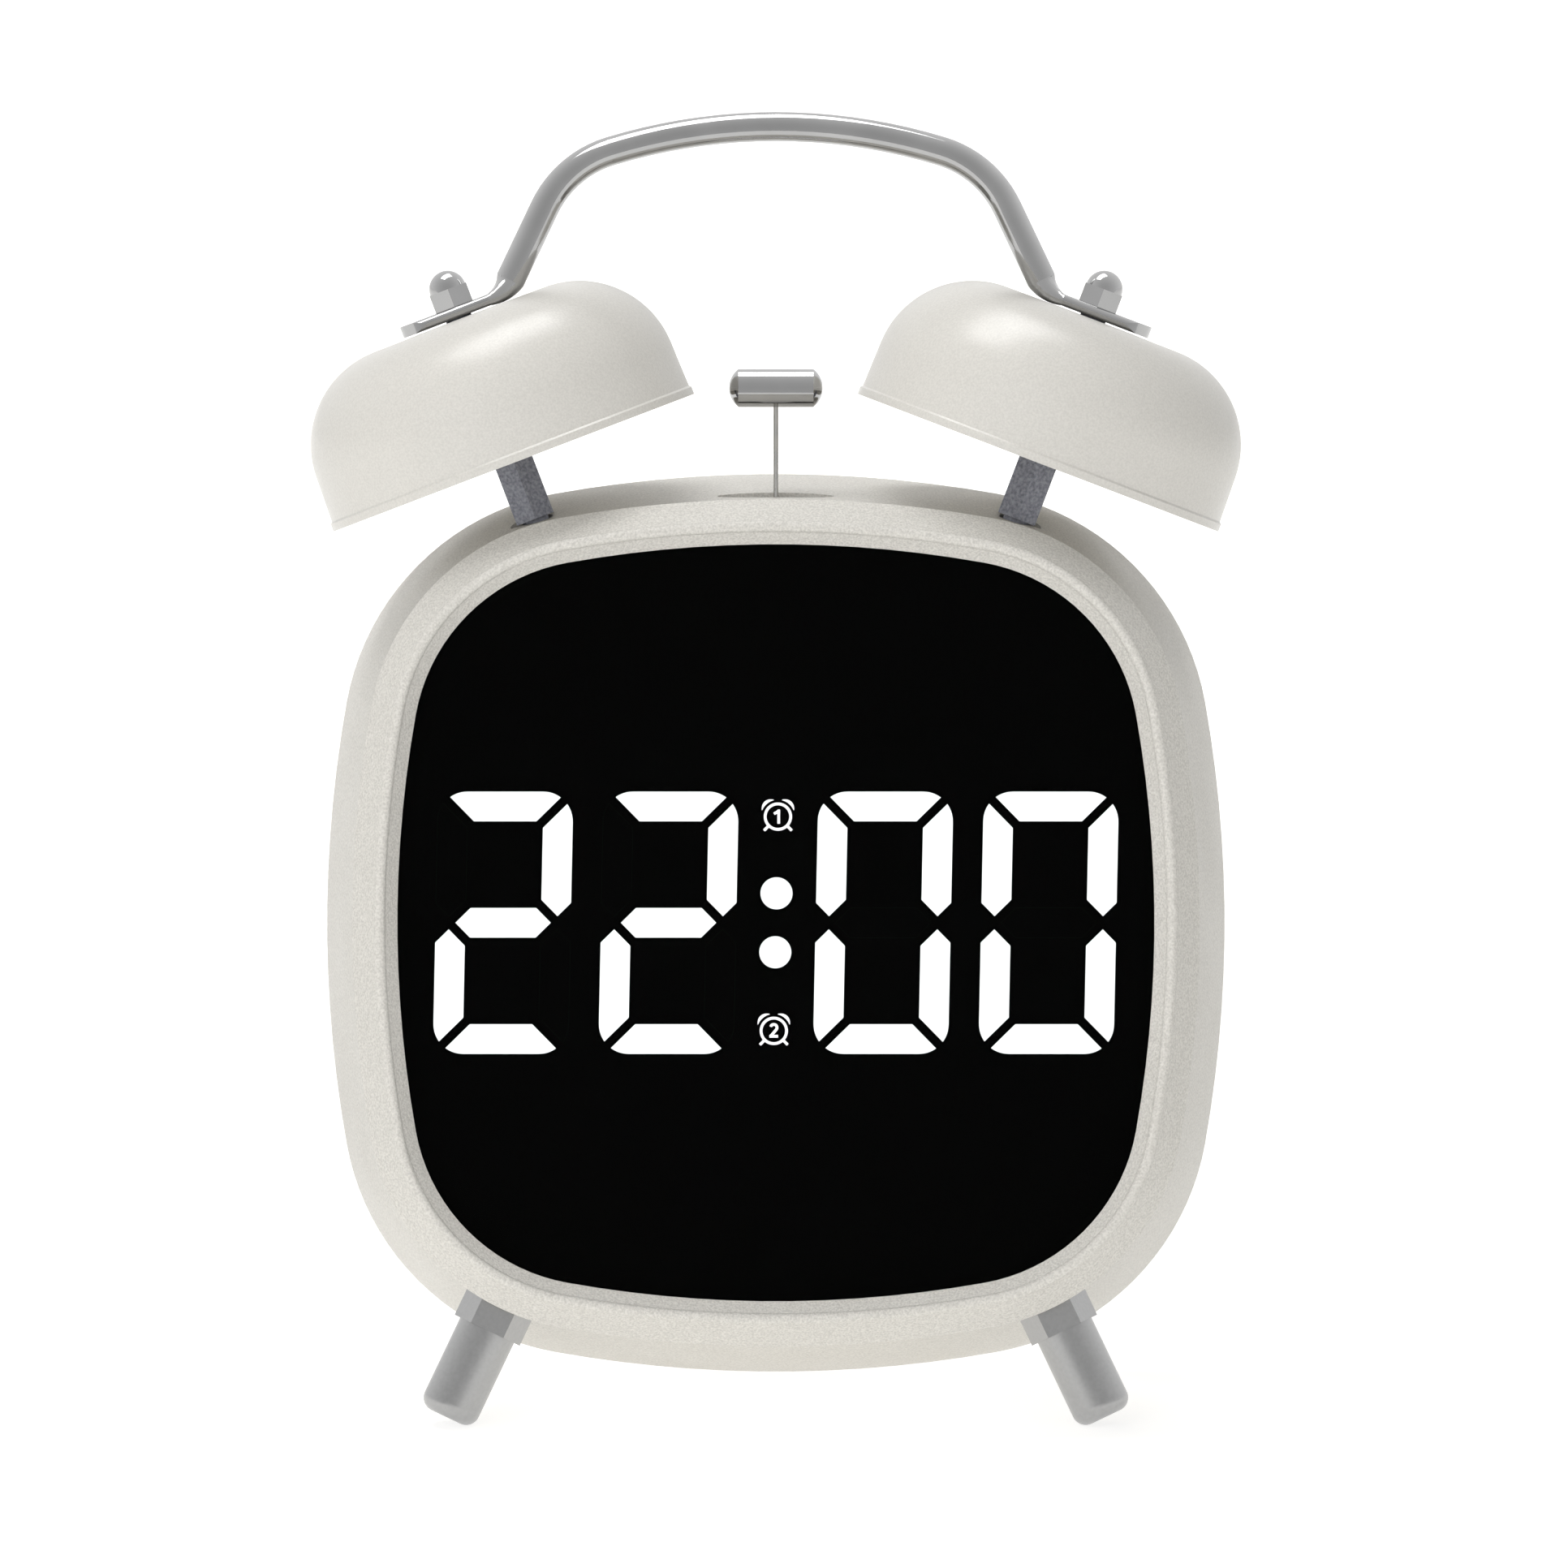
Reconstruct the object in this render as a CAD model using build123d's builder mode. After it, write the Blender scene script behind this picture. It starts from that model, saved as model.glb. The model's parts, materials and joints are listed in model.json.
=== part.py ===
from build123d import *

import math
import os

os.makedirs("parts", exist_ok=True)

# Twin-bell digital alarm clock, in millimetres.
# It is drawn upright: X to the right, Y from the front to the back, Z up, with the origin in the middle of
# the face, level with the front of the bead. At the end it is leant back until two feet and the rear rim
# share one floor, and the origin moves to the middle of its box on that floor.

# Case outline at its widest, the rear rim: a square with bowed sides and round corners
CASE_SIZE = 115.0
SIDE_RADIUS = 161.0
CORNER_RADIUS = 33.0

# Case section: insets from the widest outline, and lengths from the front to the back
DRUM_INSET = 3.2
GROOVE_INSET = 6.15
SCREEN_INSET = 9.0
LIP_SETBACK = 0.8
LIP_WIDTH = 0.2
FRONT_FLARE = 4.4
DRUM_LENGTH = 17.0
REAR_FLARE = 24.0
REAR_FLARE_CROWN = 0.35
SEAM_OFFSET = 8.0
RIM_LENGTH = 1.0
RIM_FILLET = 3.0
CASE_WALL = 2.0
LAP_LENGTH = 2.0
LAP_LIP = 0.9
FIT = 0.1

# Bezel ring, lens and display
GROOVE_WIDTH = 0.15
BEAD_WIDTH = 1.5
BEAD_HEIGHT = 0.7
BEVEL_EDGE = 0.2
LENS_SETBACK = 2.6
LENS_THICKNESS = 2.0
LENS_LAP = 1.5
MASK_THICKNESS = 0.8
LEDGE_WIDTH = 3.0
LEDGE_THICKNESS = 1.8
DIGIT_HEIGHT = 33.6
FIGURE_MARGIN = 4.9
DIGIT_GAP = 3.9
COLON_GAP = 10.2
SEGMENT_WIDTH = 3.8
SEGMENT_SLIT = 1.2
SLIT_INSET = 1.7
DIGIT_SLANT = 1.2
DOT_DIAMETER = 4.1
DOT_PITCH = 7.55
SEGMENT_LENGTH = 6.6
WELL_GAP = 0.05
WELL_BORDER = 1.5
BOARD_THICKNESS = 1.6
DISPLAY_BOARD_MARGIN = 6.0
DISPLAY_BOSS_DIAMETER = 5.0

# Bells, their posts and their hardware, along each bell's own axis
BELL_TILT = 20.9
BELL_BASE_X = 30.6
RIM_RISE = 8.3
HARDWARE_Y = 25.0
BELL_DIAMETER = 49.5
BELL_HEIGHT = 19.7
BELL_CROWN = 0.15
BELL_SEAT_DIAMETER = 8.0
BELL_TAPER = 0.5
BELL_SHOULDER = 12.7
BELL_WALL = 0.8
RIM_BAND = 1.0
RIM_STEP = 0.25
POST_DROP = 7.7
POST_FLATS = 5.0
SPIGOT_DIAMETER = 3.4
SPIGOT_LENGTH = 1.0
SEAT_CLEARANCE = 0.5
SEAT_PAD = 1.2
STUD_DIAMETER = 2.5
STUD_FIT = 0.05
SPACER_DIAMETER = 3.4
SPACER_THICKNESS = 0.2
ACORN_FLATS = 5.0
ACORN_HEX = 2.4
ACORN_DOME = 4.8
NUT_THICKNESS = 2.0
STUD_END = 1.0

# Handle: a round rod with flattened ends, bolted on top of the bells
ROD_DIAMETER = 3.8
HANDLE_RISE = 46.4
ARCH_RADIUS = 72.9
SHOULDER_RADIUS = 13.7
LEG_SPLAY = 25.4
BEND_OFFSET = 6.46
BEND_RADIUS = 5.0
TAB_THICKNESS = 1.5
TAB_WIDTH = 7.0
TAB_REACH = 7.5
TAB_EDGE = 0.9
TAB_CROWN = 0.97

# Feet
FOOT_Y = 12.0
FOOT_SIDE_INSET = 21.9
FOOT_SPLAY = 25.5
COLLAR_FLATS = 8.0
COLLAR_HEIGHT = 3.25
COLLAR_SINK = 0.4
FOOT_DIAMETER = 7.65
FOOT_LENGTH = 12.3
FOOT_FILLET = 1.8
FOOT_STUD_DIAMETER = 3.0
FOOT_NUT_FLATS = 5.5
FOOT_NUT_THICKNESS = 2.4

# Hammer and its striker
HEAD_LENGTH = 12.06
HEAD_DIAMETER = 4.9
HEAD_CAP = 1.2
HEAD_RISE = 11.0
HAMMER_ROD_DIAMETER = 0.6
PIVOT_DROP = 23.5
PIN_DIAMETER = 2.0
LEVER_THICKNESS = 1.6
LEVER_WIDTH = 4.0
LEVER_DROP = 11.5
LEVER_LENGTH = 20.0
HUB_DIAMETER = 7.0
HUB_LENGTH = 3.4
ROD_GRIP = 5.0
MAGNET_WIDTH = 3.2
MAGNET_DEPTH = 3.6
MAGNET_HEIGHT = 6.5
SLOT_LENGTH = 15.0
SLOT_WIDTH = 3.4
CLIP_DIAMETER = 4.6
CLIP_THICKNESS = 0.6
FRAME_THICKNESS = 1.5
FRAME_WIDTH = 18.0
FRAME_CLEARANCE = 2.0
EAR_SPAN = 25.0
EAR_WIDTH = 7.0
EAR_DROP = 8.5
EAR_HEIGHT = 11.0
EAR_SCREW_DROP = 4.5
EAR_BOSS_LENGTH = 7.0
YOKE_GAP = 8.8
YOKE_LIMB = 3.0
YOKE_DROP = 30.5
YOKE_OPENING = 15.0
YOKE_BAR = 4.0
YOKE_DEPTH = 4.2
BOBBIN_FLANGE = 0.8
BOBBIN_WALL = 0.7
WINDING_THICKNESS = 2.4
RIVET_DIAMETER = 1.4
RIVET_HEAD = 2.6
RIVET_HEAD_HEIGHT = 0.6
RIVET_DROP = 4.0

# Back: battery bay, control board, push buttons and power inlet
CELL_DIAMETER = 10.3
CELL_LENGTH = 44.5
CELL_PITCH = 11.0
CELL_COUNT = 3
CELL_NUB_DIAMETER = 3.8
CELL_NUB_LENGTH = 0.8
CONTACT_SIZE = 8.3
CONTACT_THICKNESS = 0.4
CONTACT_GAP = 0.1
BAY_MIDDLE_Z = -24.0
BAY_FOOT_ROOM = 1.6
BAY_WALL = 2.9
DOOR_THICKNESS = 1.8
DOOR_LEDGE = 1.4
DOOR_GAP = 0.15
DOOR_TAB_WIDTH = 6.0
DOOR_TAB_THICKNESS = 1.0
DOOR_TAB_LENGTH = 3.0
DOOR_RIB_COUNT = 4
DOOR_RIB_PITCH = 1.8
DOOR_RIB_LENGTH = 14.0
DOOR_RIB_DEPTH = 0.5
CONTROL_BOARD_WIDTH = 79.0
CONTROL_BOARD_HEIGHT = 31.0
CONTROL_BOARD_Z = 14.0
STANDOFF_DIAMETER = 5.0
STANDOFF_MARGIN = 3.5
BUTTON_DIAMETER = 7.0
BUTTON_PITCH = 17.0
BUTTON_Z = 18.0
BUTTON_GAP = 0.2
BUTTON_PROUD = 0.8
BUTTON_TRAVEL = 0.8
FLANGE_WIDTH = 1.1
FLANGE_THICKNESS = 0.9
STEM_DIAMETER = 1.9
STEM_ENTRY = 0.2
STEM_SPARE = 0.4
SWITCH_SIZE = 6.0
SWITCH_HEIGHT = 2.0
INLET_Z = 5.0
INLET_WIDTH = 9.0
INLET_HEIGHT = 3.3
INLET_CORNER = 1.3
INLET_SHELL = 0.35
INLET_FLOOR = 0.8
TONGUE_WIDTH = 6.7
TONGUE_THICKNESS = 0.7
TONGUE_SETBACK = 0.8
RIBBON_X = 28.0
RIBBON_Z = 8.0
RIBBON_WIDTH = 10.0
RIBBON_THICKNESS = 0.8
RIBBON_LEAD = 6.0
RIBBON_SLACK = 6.0
RIBBON_BEND = 4.0

# Screws
SMALL_SCREW_DIAMETER = 2.0
SMALL_HEAD_DIAMETER = 3.8
SMALL_HEAD_HEIGHT = 1.3
SMALL_SCREW_LENGTH = 4.5
CASE_SCREW_DIAMETER = 2.6
CASE_HEAD_DIAMETER = 4.8
CASE_HEAD_HEIGHT = 2.0
CASE_SCREW_LENGTH = 12.0
CASE_SCREW_SEAT = 4.0
CASE_BOSS_DIAMETER = 6.0
CASE_TOWER_DIAMETER = 7.6
BOSS_SINK = 0.4
PILOT_FIT = 0.02
SCREW_FIT = 0.2
PILOT_SPARE = 0.5

# Levels worked out from the sizes above
CASE_HALF = CASE_SIZE / 2
LENS_Y = LENS_SETBACK
MASK_Y = LENS_Y + LENS_THICKNESS + FIT
LEDGE_Y = MASK_Y + MASK_THICKNESS
LEDGE_BACK = LEDGE_Y + LEDGE_THICKNESS
DRUM_Y = LIP_SETBACK + FRONT_FLARE
FLARE_Y = DRUM_Y + DRUM_LENGTH
SEAM_Y = FLARE_Y + SEAM_OFFSET
RIM_Y = FLARE_Y + REAR_FLARE
RIM_END = RIM_Y + RIM_LENGTH
BACK_Y = RIM_END + RIM_FILLET
BACK_INNER = BACK_Y - CASE_WALL
LENS_INSET = SCREEN_INSET - LENS_LAP
WALL_INSET = DRUM_INSET + CASE_WALL
SHIELD_BACK = MASK_Y + SEGMENT_LENGTH + FIT
DISPLAY_BOARD_BACK = SHIELD_BACK + BOARD_THICKNESS
BOARD_STANDOFF = SWITCH_HEIGHT + STEM_SPARE + BUTTON_TRAVEL + FLANGE_THICKNESS + FIT
CONTROL_BOARD_BACK = BACK_INNER - BOARD_STANDOFF
CONTROL_BOARD_FRONT = CONTROL_BOARD_BACK - BOARD_THICKNESS
BACK = (0, 1, 0)

# The figures fill the screen's width, and the handle, hammer and striker are placed from the case's top
FIGURE_SPAN = CASE_SIZE - 2 * (SCREEN_INSET + FIGURE_MARGIN)
DIGIT_WIDTH = (FIGURE_SPAN - COLON_GAP - 2 * DIGIT_GAP) / 4
DIGIT_PITCH = DIGIT_WIDTH + DIGIT_GAP
COLON_PITCH = DIGIT_WIDTH + COLON_GAP
FOOT_BASE_X = CASE_HALF - FOOT_SIDE_INSET
HANDLE_TOP = CASE_HALF + HANDLE_RISE
HEAD_Z = CASE_HALF + HEAD_RISE
PIVOT_Z = CASE_HALF - PIVOT_DROP
LEVER_TOP = CASE_HALF - LEVER_DROP
LEVER_TAIL = LEVER_TOP - LEVER_LENGTH
EAR_TOP = CASE_HALF - EAR_DROP
EAR_BOTTOM = EAR_TOP - EAR_HEIGHT
YOKE_TOP = CASE_HALF - YOKE_DROP
YOKE_BAR_TOP = YOKE_TOP - YOKE_OPENING

# The corner arcs' centres lie on the diagonals, where both arcs are tangent
SIDE_CENTRE = CASE_HALF - SIDE_RADIUS
ARC_STEP = SIDE_RADIUS - CORNER_RADIUS
CORNER_CENTRE = (SIDE_CENTRE + math.sqrt(2 * ARC_STEP**2 - SIDE_CENTRE**2)) / 2
SIDE_ANGLE = math.degrees(math.atan2(CORNER_CENTRE, CORNER_CENTRE - SIDE_CENTRE))


def polar(length, angle):
    """Point at a distance and an angle in degrees from the origin."""
    return length * math.cos(math.radians(angle)), length * math.sin(math.radians(angle))


def outline_arcs():
    """Centre, radius, start and size of each arc round the widest outline, four sides and four corners."""
    arcs = []
    for turn in (0, 90, 180, 270):
        side_x, side_z = polar(SIDE_CENTRE, turn)
        corner_x, corner_z = polar(CORNER_CENTRE * math.sqrt(2), turn + 45)
        arcs.append((side_x, side_z, SIDE_RADIUS, turn - SIDE_ANGLE, 2 * SIDE_ANGLE))
        arcs.append((corner_x, corner_z, CORNER_RADIUS, turn + SIDE_ANGLE, 90 - 2 * SIDE_ANGLE))
    return arcs


def outline_height(x, inset):
    """Height of the outline above the middle of the face, at a distance x from the middle."""
    corner_start = (SIDE_RADIUS - inset) * math.sin(math.radians(SIDE_ANGLE))
    if abs(x) < corner_start:
        return SIDE_CENTRE + math.sqrt((SIDE_RADIUS - inset) ** 2 - x**2)
    return CORNER_CENTRE + math.sqrt((CORNER_RADIUS - inset) ** 2 - (abs(x) - CORNER_CENTRE) ** 2)


def flare_inset(depth):
    """Inset of the rear flare at a depth: one arc from the drum to the rim, bowed out by its crown."""
    slope = math.atan2(DRUM_INSET, REAR_FLARE)
    half = math.hypot(DRUM_INSET, REAR_FLARE) / 2
    bow = (half**2 + REAR_FLARE_CROWN**2) / (2 * REAR_FLARE_CROWN)
    drop = bow - REAR_FLARE_CROWN
    centre_inset = DRUM_INSET / 2 + drop * math.cos(slope)
    centre_depth = FLARE_Y + REAR_FLARE / 2 + drop * math.sin(slope)
    return centre_inset - math.sqrt(bow**2 - (depth - centre_depth) ** 2)


def face_plane(depth):
    """Plane parallel to the face, at a depth behind the front of the bead."""
    return Plane.XZ.offset(-depth)


def level_plane(depth, height):
    """Plane that looks up, with its origin on the middle line at a depth and a height."""
    return Plane(origin=(0, depth, height), x_dir=(1, 0, 0), z_dir=(0, 0, 1))


def upright(plane):
    """Plane through the axis of another plane, with that axis as its own vertical."""
    return Plane(origin=plane.origin, x_dir=plane.x_dir, z_dir=-plane.y_dir)


def axis_of(plane):
    """Axis of a plane, as a revolve needs it."""
    return Axis(plane.origin, plane.z_dir)


def outline_sketch(depth, inset):
    """The case outline, set in by an inset, on a plane parallel to the face."""
    with BuildSketch(face_plane(depth)) as outline:
        with BuildLine():
            for centre_x, centre_z, radius, start, size in outline_arcs():
                CenterArc((centre_x, centre_z), radius - inset, start, size)
        make_face()
    return outline.sketch


def add_ring(profile):
    """Carry a section round the case outline, with one revolve for each side and each corner."""
    for centre_x, centre_z, radius, start, size in outline_arcs():
        across_x, across_z = polar(1, start)
        plane = Plane((centre_x, 0, centre_z), (across_x, 0, across_z), (-across_z, 0, across_x))
        with BuildSketch(plane) as section:
            with BuildLine():
                profile(radius)
            make_face()
        revolve(section.sketch, axis=Axis((centre_x, 0, centre_z), (0, -1, 0)), revolution_arc=size)


def add_screws(plane, places, diameter, length, head_diameter, head_height):
    """Screws whose heads sit on a plane that looks out of the work."""
    with BuildSketch(plane) as shanks:
        with Locations(*places):
            Circle(diameter / 2)
    extrude(shanks.sketch, amount=-length)
    with BuildSketch(plane) as heads:
        with Locations(*places):
            Circle(head_diameter / 2)
    extrude(heads.sketch, amount=head_height)


pieces = {}


# Bezel ring: a round bead that covers the case's lip, a bevel to the lens, and a leg on the case's ledge
def bezel_profile(radius):
    cover = radius - GROOVE_INSET + LIP_WIDTH
    outer = radius - GROOVE_INSET - GROOVE_WIDTH
    bead_end = cover - BEAD_WIDTH
    screen = radius - SCREEN_INSET
    leg = radius - LENS_INSET + FIT
    ThreePointArc((cover, BEAD_HEIGHT), (cover - BEAD_WIDTH / 2, 0), (bead_end, BEAD_HEIGHT))
    Polyline(
        (bead_end, BEAD_HEIGHT),
        (screen, LENS_Y - BEVEL_EDGE),
        (screen, LENS_Y),
        (leg, LENS_Y),
        (leg, LEDGE_Y),
        (outer, LEDGE_Y),
        (outer, LIP_SETBACK),
        (cover, LIP_SETBACK),
        (cover, BEAD_HEIGHT),
    )


with BuildPart() as bezel_ring:
    add_ring(bezel_profile)
pieces["bezel_ring"] = bezel_ring


# Planes of the bells and the feet: the origin lies on the drum, Z points out of the case
def bell_plane(side):
    tilt = math.radians(BELL_TILT)
    return Plane(
        origin=(side * BELL_BASE_X, HARDWARE_Y, outline_height(BELL_BASE_X, DRUM_INSET)),
        x_dir=(side * math.cos(tilt), 0, -math.sin(tilt)),
        z_dir=(side * math.sin(tilt), 0, math.cos(tilt)),
    )


def foot_plane(side):
    splay = math.radians(FOOT_SPLAY)
    return Plane(
        origin=(side * FOOT_BASE_X, FOOT_Y, -outline_height(FOOT_BASE_X, DRUM_INSET)),
        x_dir=(side * math.cos(splay), 0, math.sin(splay)),
        z_dir=(side * math.sin(splay), 0, -math.cos(splay)),
    )


SIDES = {"left": -1, "right": 1}
POST_START = RIM_RISE - POST_DROP
POST_SEAT = POST_START - SPIGOT_LENGTH
STUD_SEAT = POST_SEAT - CASE_WALL - SEAT_PAD
BELL_TOP = RIM_RISE + BELL_HEIGHT
POST_END = BELL_TOP - BELL_WALL
TAB_START = BELL_TOP + SPACER_THICKNESS
TAB_MIDDLE = TAB_START + TAB_THICKNESS / 2
TAB_END = TAB_START + TAB_THICKNESS
FOOT_SEAT = -COLLAR_SINK
FOOT_NUT_SEAT = FOOT_SEAT - CASE_WALL - SEAT_PAD
STUD_HOLE = STUD_DIAMETER / 2 + STUD_FIT
FOOT_HOLE = FOOT_STUD_DIAMETER / 2 + STUD_FIT
SEAM_INSET = flare_inset(SEAM_Y)

# The corner bosses touch the drum's wall on the diagonal
BOSS_REACH = CORNER_RADIUS - WALL_INSET - CASE_BOSS_DIAMETER / 2 + BOSS_SINK
BOSS_X = CORNER_CENTRE + BOSS_REACH / math.sqrt(2)
BOSS_END = SEAM_Y + LAP_LENGTH
BOSS_PLACES = [(x * BOSS_X, z * BOSS_X) for x in (-1, 1) for z in (-1, 1)]
FRAME_Y = HARDWARE_Y + YOKE_DEPTH / 2
EAR_X = EAR_SPAN / 2
EAR_MIDDLE = EAR_TOP - EAR_SCREW_DROP
EAR_PLACES = [(-EAR_X, EAR_MIDDLE), (EAR_X, EAR_MIDDLE)]


# Front case: a lip under the bezel, a flare, the straight drum, a second flare, and a tongue at the seam
def front_case_profile(radius):
    groove = radius - GROOVE_INSET
    drum = radius - DRUM_INSET
    seam = radius - SEAM_INSET
    inner = radius - WALL_INSET
    tongue = seam - LAP_LIP - FIT
    ledge = radius - LENS_INSET - LEDGE_WIDTH
    middle = (FLARE_Y + SEAM_Y) / 2
    ThreePointArc((drum, FLARE_Y), (radius - flare_inset(middle), middle), (seam, SEAM_Y))
    Polyline(
        (seam, SEAM_Y),
        (tongue, SEAM_Y),
        (tongue, SEAM_Y + LAP_LENGTH),
        (inner, SEAM_Y + LAP_LENGTH),
        (inner, LEDGE_BACK),
        (ledge, LEDGE_BACK),
        (ledge, LEDGE_Y),
        (groove, LEDGE_Y),
        (groove, LIP_SETBACK),
        (groove + LIP_WIDTH, LIP_SETBACK),
        (drum, DRUM_Y),
        (drum, FLARE_Y),
    )


with BuildPart() as front_case:
    add_ring(front_case_profile)
    # Corner bosses for the case screws
    with BuildSketch(face_plane(LEDGE_BACK)):
        with Locations(*BOSS_PLACES):
            Circle(CASE_BOSS_DIAMETER / 2)
    extrude(amount=BOSS_END - LEDGE_BACK, dir=BACK)
    with BuildSketch(face_plane(BOSS_END)):
        with Locations(*BOSS_PLACES):
            Circle(CASE_SCREW_DIAMETER / 2 + PILOT_FIT)
    extrude(amount=-CASE_SCREW_LENGTH, dir=BACK, mode=Mode.SUBTRACT)
    # Two blocks under the top wall carry the striker frame
    with BuildSketch(face_plane(FRAME_Y)):
        with Locations(*EAR_PLACES):
            block_top = outline_height(EAR_X, WALL_INSET) + CASE_WALL / 2
            Rectangle(EAR_WIDTH, 2 * (block_top - EAR_MIDDLE))
    extrude(amount=-EAR_BOSS_LENGTH, dir=BACK)
    with BuildSketch(face_plane(FRAME_Y)):
        with Locations(*EAR_PLACES):
            Circle(SMALL_SCREW_DIAMETER / 2 + PILOT_FIT)
    extrude(amount=-SMALL_SCREW_LENGTH - PILOT_SPARE, dir=BACK, mode=Mode.SUBTRACT)
    # Seats of the bell posts and the feet, each with a pad inside for its nut
    for side in SIDES.values():
        bell_base = bell_plane(side)
        foot_base = foot_plane(side)
        with BuildSketch(bell_base.offset(STUD_SEAT)):
            Circle(POST_FLATS / 2 + 2 * SEAT_CLEARANCE)
        extrude(amount=CASE_WALL)
        with BuildSketch(bell_base.offset(POST_SEAT)):
            Circle(SPIGOT_DIAMETER / 2 + SEAT_CLEARANCE)
        extrude(amount=SPIGOT_LENGTH + CASE_WALL, mode=Mode.SUBTRACT)
        with BuildSketch(bell_base.offset(POST_START - FIT)):
            Circle(POST_FLATS / math.sqrt(3) + SEAT_CLEARANCE)
        extrude(amount=CASE_WALL, mode=Mode.SUBTRACT)
        with BuildSketch(bell_base.offset(STUD_SEAT)):
            Circle(STUD_HOLE)
        extrude(amount=CASE_WALL + SEAT_PAD + SPIGOT_LENGTH, mode=Mode.SUBTRACT)
        with BuildSketch(bell_base.offset(STUD_SEAT)):
            Circle(POST_FLATS / math.sqrt(3) + FIT)
        extrude(amount=-NUT_THICKNESS - STUD_END, mode=Mode.SUBTRACT)
        with BuildSketch(foot_base.offset(FOOT_NUT_SEAT)):
            Circle(FOOT_NUT_FLATS / 2 + 2 * SEAT_CLEARANCE)
        extrude(amount=CASE_WALL)
        with BuildSketch(foot_base.offset(FOOT_SEAT)):
            Circle(COLLAR_FLATS / math.sqrt(3) + SEAT_CLEARANCE / 2)
        extrude(amount=COLLAR_HEIGHT, mode=Mode.SUBTRACT)
        with BuildSketch(foot_base.offset(FOOT_NUT_SEAT)):
            Circle(FOOT_HOLE)
        extrude(amount=CASE_WALL + SEAT_PAD + COLLAR_SINK, mode=Mode.SUBTRACT)
    # Slot for the swinging rod
    with BuildSketch(level_plane(HARDWARE_Y, outline_height(0, WALL_INSET) - CASE_WALL)):
        Ellipse(SLOT_LENGTH / 2, SLOT_WIDTH / 2)
    extrude(amount=3 * CASE_WALL, mode=Mode.SUBTRACT)
pieces["front_case"] = front_case

# Screen lens
with BuildPart() as screen_lens:
    extrude(outline_sketch(LENS_Y, LENS_INSET), amount=LENS_THICKNESS, dir=BACK)
pieces["screen_lens"] = screen_lens

# Seven-segment figures: a slanted figure-of-eight band, slit along the diagonals where segments meet
DIGIT_PLACES = [
    -COLON_PITCH / 2 - DIGIT_PITCH,
    -COLON_PITCH / 2,
    COLON_PITCH / 2,
    COLON_PITCH / 2 + DIGIT_PITCH,
]
SEGMENTS_OF_TWO = {"top", "upper_right", "middle", "lower_left", "bottom"}
SEGMENTS_OF_ZERO = {"top", "upper_left", "upper_right", "lower_left", "lower_right", "bottom"}
SHOWN = [SEGMENTS_OF_TWO, SEGMENTS_OF_TWO, SEGMENTS_OF_ZERO, SEGMENTS_OF_ZERO]
SLANT = math.tan(math.radians(DIGIT_SLANT))
DOT_PLACES = [(SLANT * z, z) for z in (-DOT_PITCH / 2, DOT_PITCH / 2)]


def slanted(points):
    """Lean a list of points to the right as they rise."""
    return [(x + SLANT * z, z) for x, z in points]


def block(left, bottom, right, top):
    """Corners of an upright rectangle."""
    return [(left, bottom), (right, bottom), (right, top), (left, top)]


def slit(x, z, rise, width):
    """Corners of a thin diagonal bar through a point, which rises to the right or falls."""
    reach = SEGMENT_WIDTH * math.sqrt(2)
    half = width / math.sqrt(2)
    left, right = x - reach, x + reach
    low, high = z - rise * reach, z + rise * reach
    return [(left - half, low), (left + half, low), (right + half, high), (right - half, high)]


def segment_faces(centre_x, swell=0.0):
    """Faces of one figure's segments, by name, each grown by swell all round."""
    half_width = DIGIT_WIDTH / 2
    half_height = DIGIT_HEIGHT / 2
    window_x = half_width - SEGMENT_WIDTH - swell
    window_low = SEGMENT_WIDTH / 2 + swell
    window_high = half_height - SEGMENT_WIDTH - swell
    width = SEGMENT_SLIT - 2 * swell
    junction = half_width - SLIT_INSET
    outer = block(-half_width - swell, -half_height - swell, half_width + swell, half_height + swell)
    cuts = [
        block(-window_x, window_low, window_x, window_high),
        block(-window_x, -window_high, window_x, -window_low),
    ]
    for side in (-1, 1):
        cuts.append(slit(side * junction, 0, 1, width))
        cuts.append(slit(side * junction, 0, -1, width))
        cuts.append(slit(side * half_width, half_height, side, width))
        cuts.append(slit(side * half_width, -half_height, -side, width))
    with BuildSketch(face_plane(MASK_Y)) as figure:
        with Locations((centre_x, 0)):
            Polygon(*slanted(outer), align=None)
        fillet(figure.vertices(), radius=SEGMENT_WIDTH + swell)
        with Locations((centre_x, 0)):
            for cut in cuts:
                Polygon(*slanted(cut), align=None, mode=Mode.SUBTRACT)
    named = {}
    for face in figure.sketch.faces().sort_by(SortBy.AREA)[-7:]:
        place = face.center()
        level = round(place.Z / (half_height / 2))
        across = round((place.X - centre_x) / half_width)
        row = {2: "top", 1: "upper", 0: "middle", -1: "lower", -2: "bottom"}[level]
        named[row if across == 0 else row + {-1: "_left", 1: "_right"}[across]] = face
    return named


BLOCK_HALF_X = COLON_PITCH / 2 + DIGIT_PITCH + DIGIT_WIDTH / 2 + WELL_BORDER
BLOCK_HALF_Z = DIGIT_HEIGHT / 2 + WELL_BORDER
DISPLAY_HALF_X = BLOCK_HALF_X
DISPLAY_HALF_Z = BLOCK_HALF_Z + DISPLAY_BOARD_MARGIN
DISPLAY_BOSS_X = DISPLAY_HALF_X - DISPLAY_BOARD_MARGIN
DISPLAY_BOSS_Z = BLOCK_HALF_Z + DISPLAY_BOARD_MARGIN / 2
DISPLAY_BOSSES = [(x * DISPLAY_BOSS_X, z * DISPLAY_BOSS_Z) for x in (-1, 1) for z in (-1, 1)]

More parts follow.
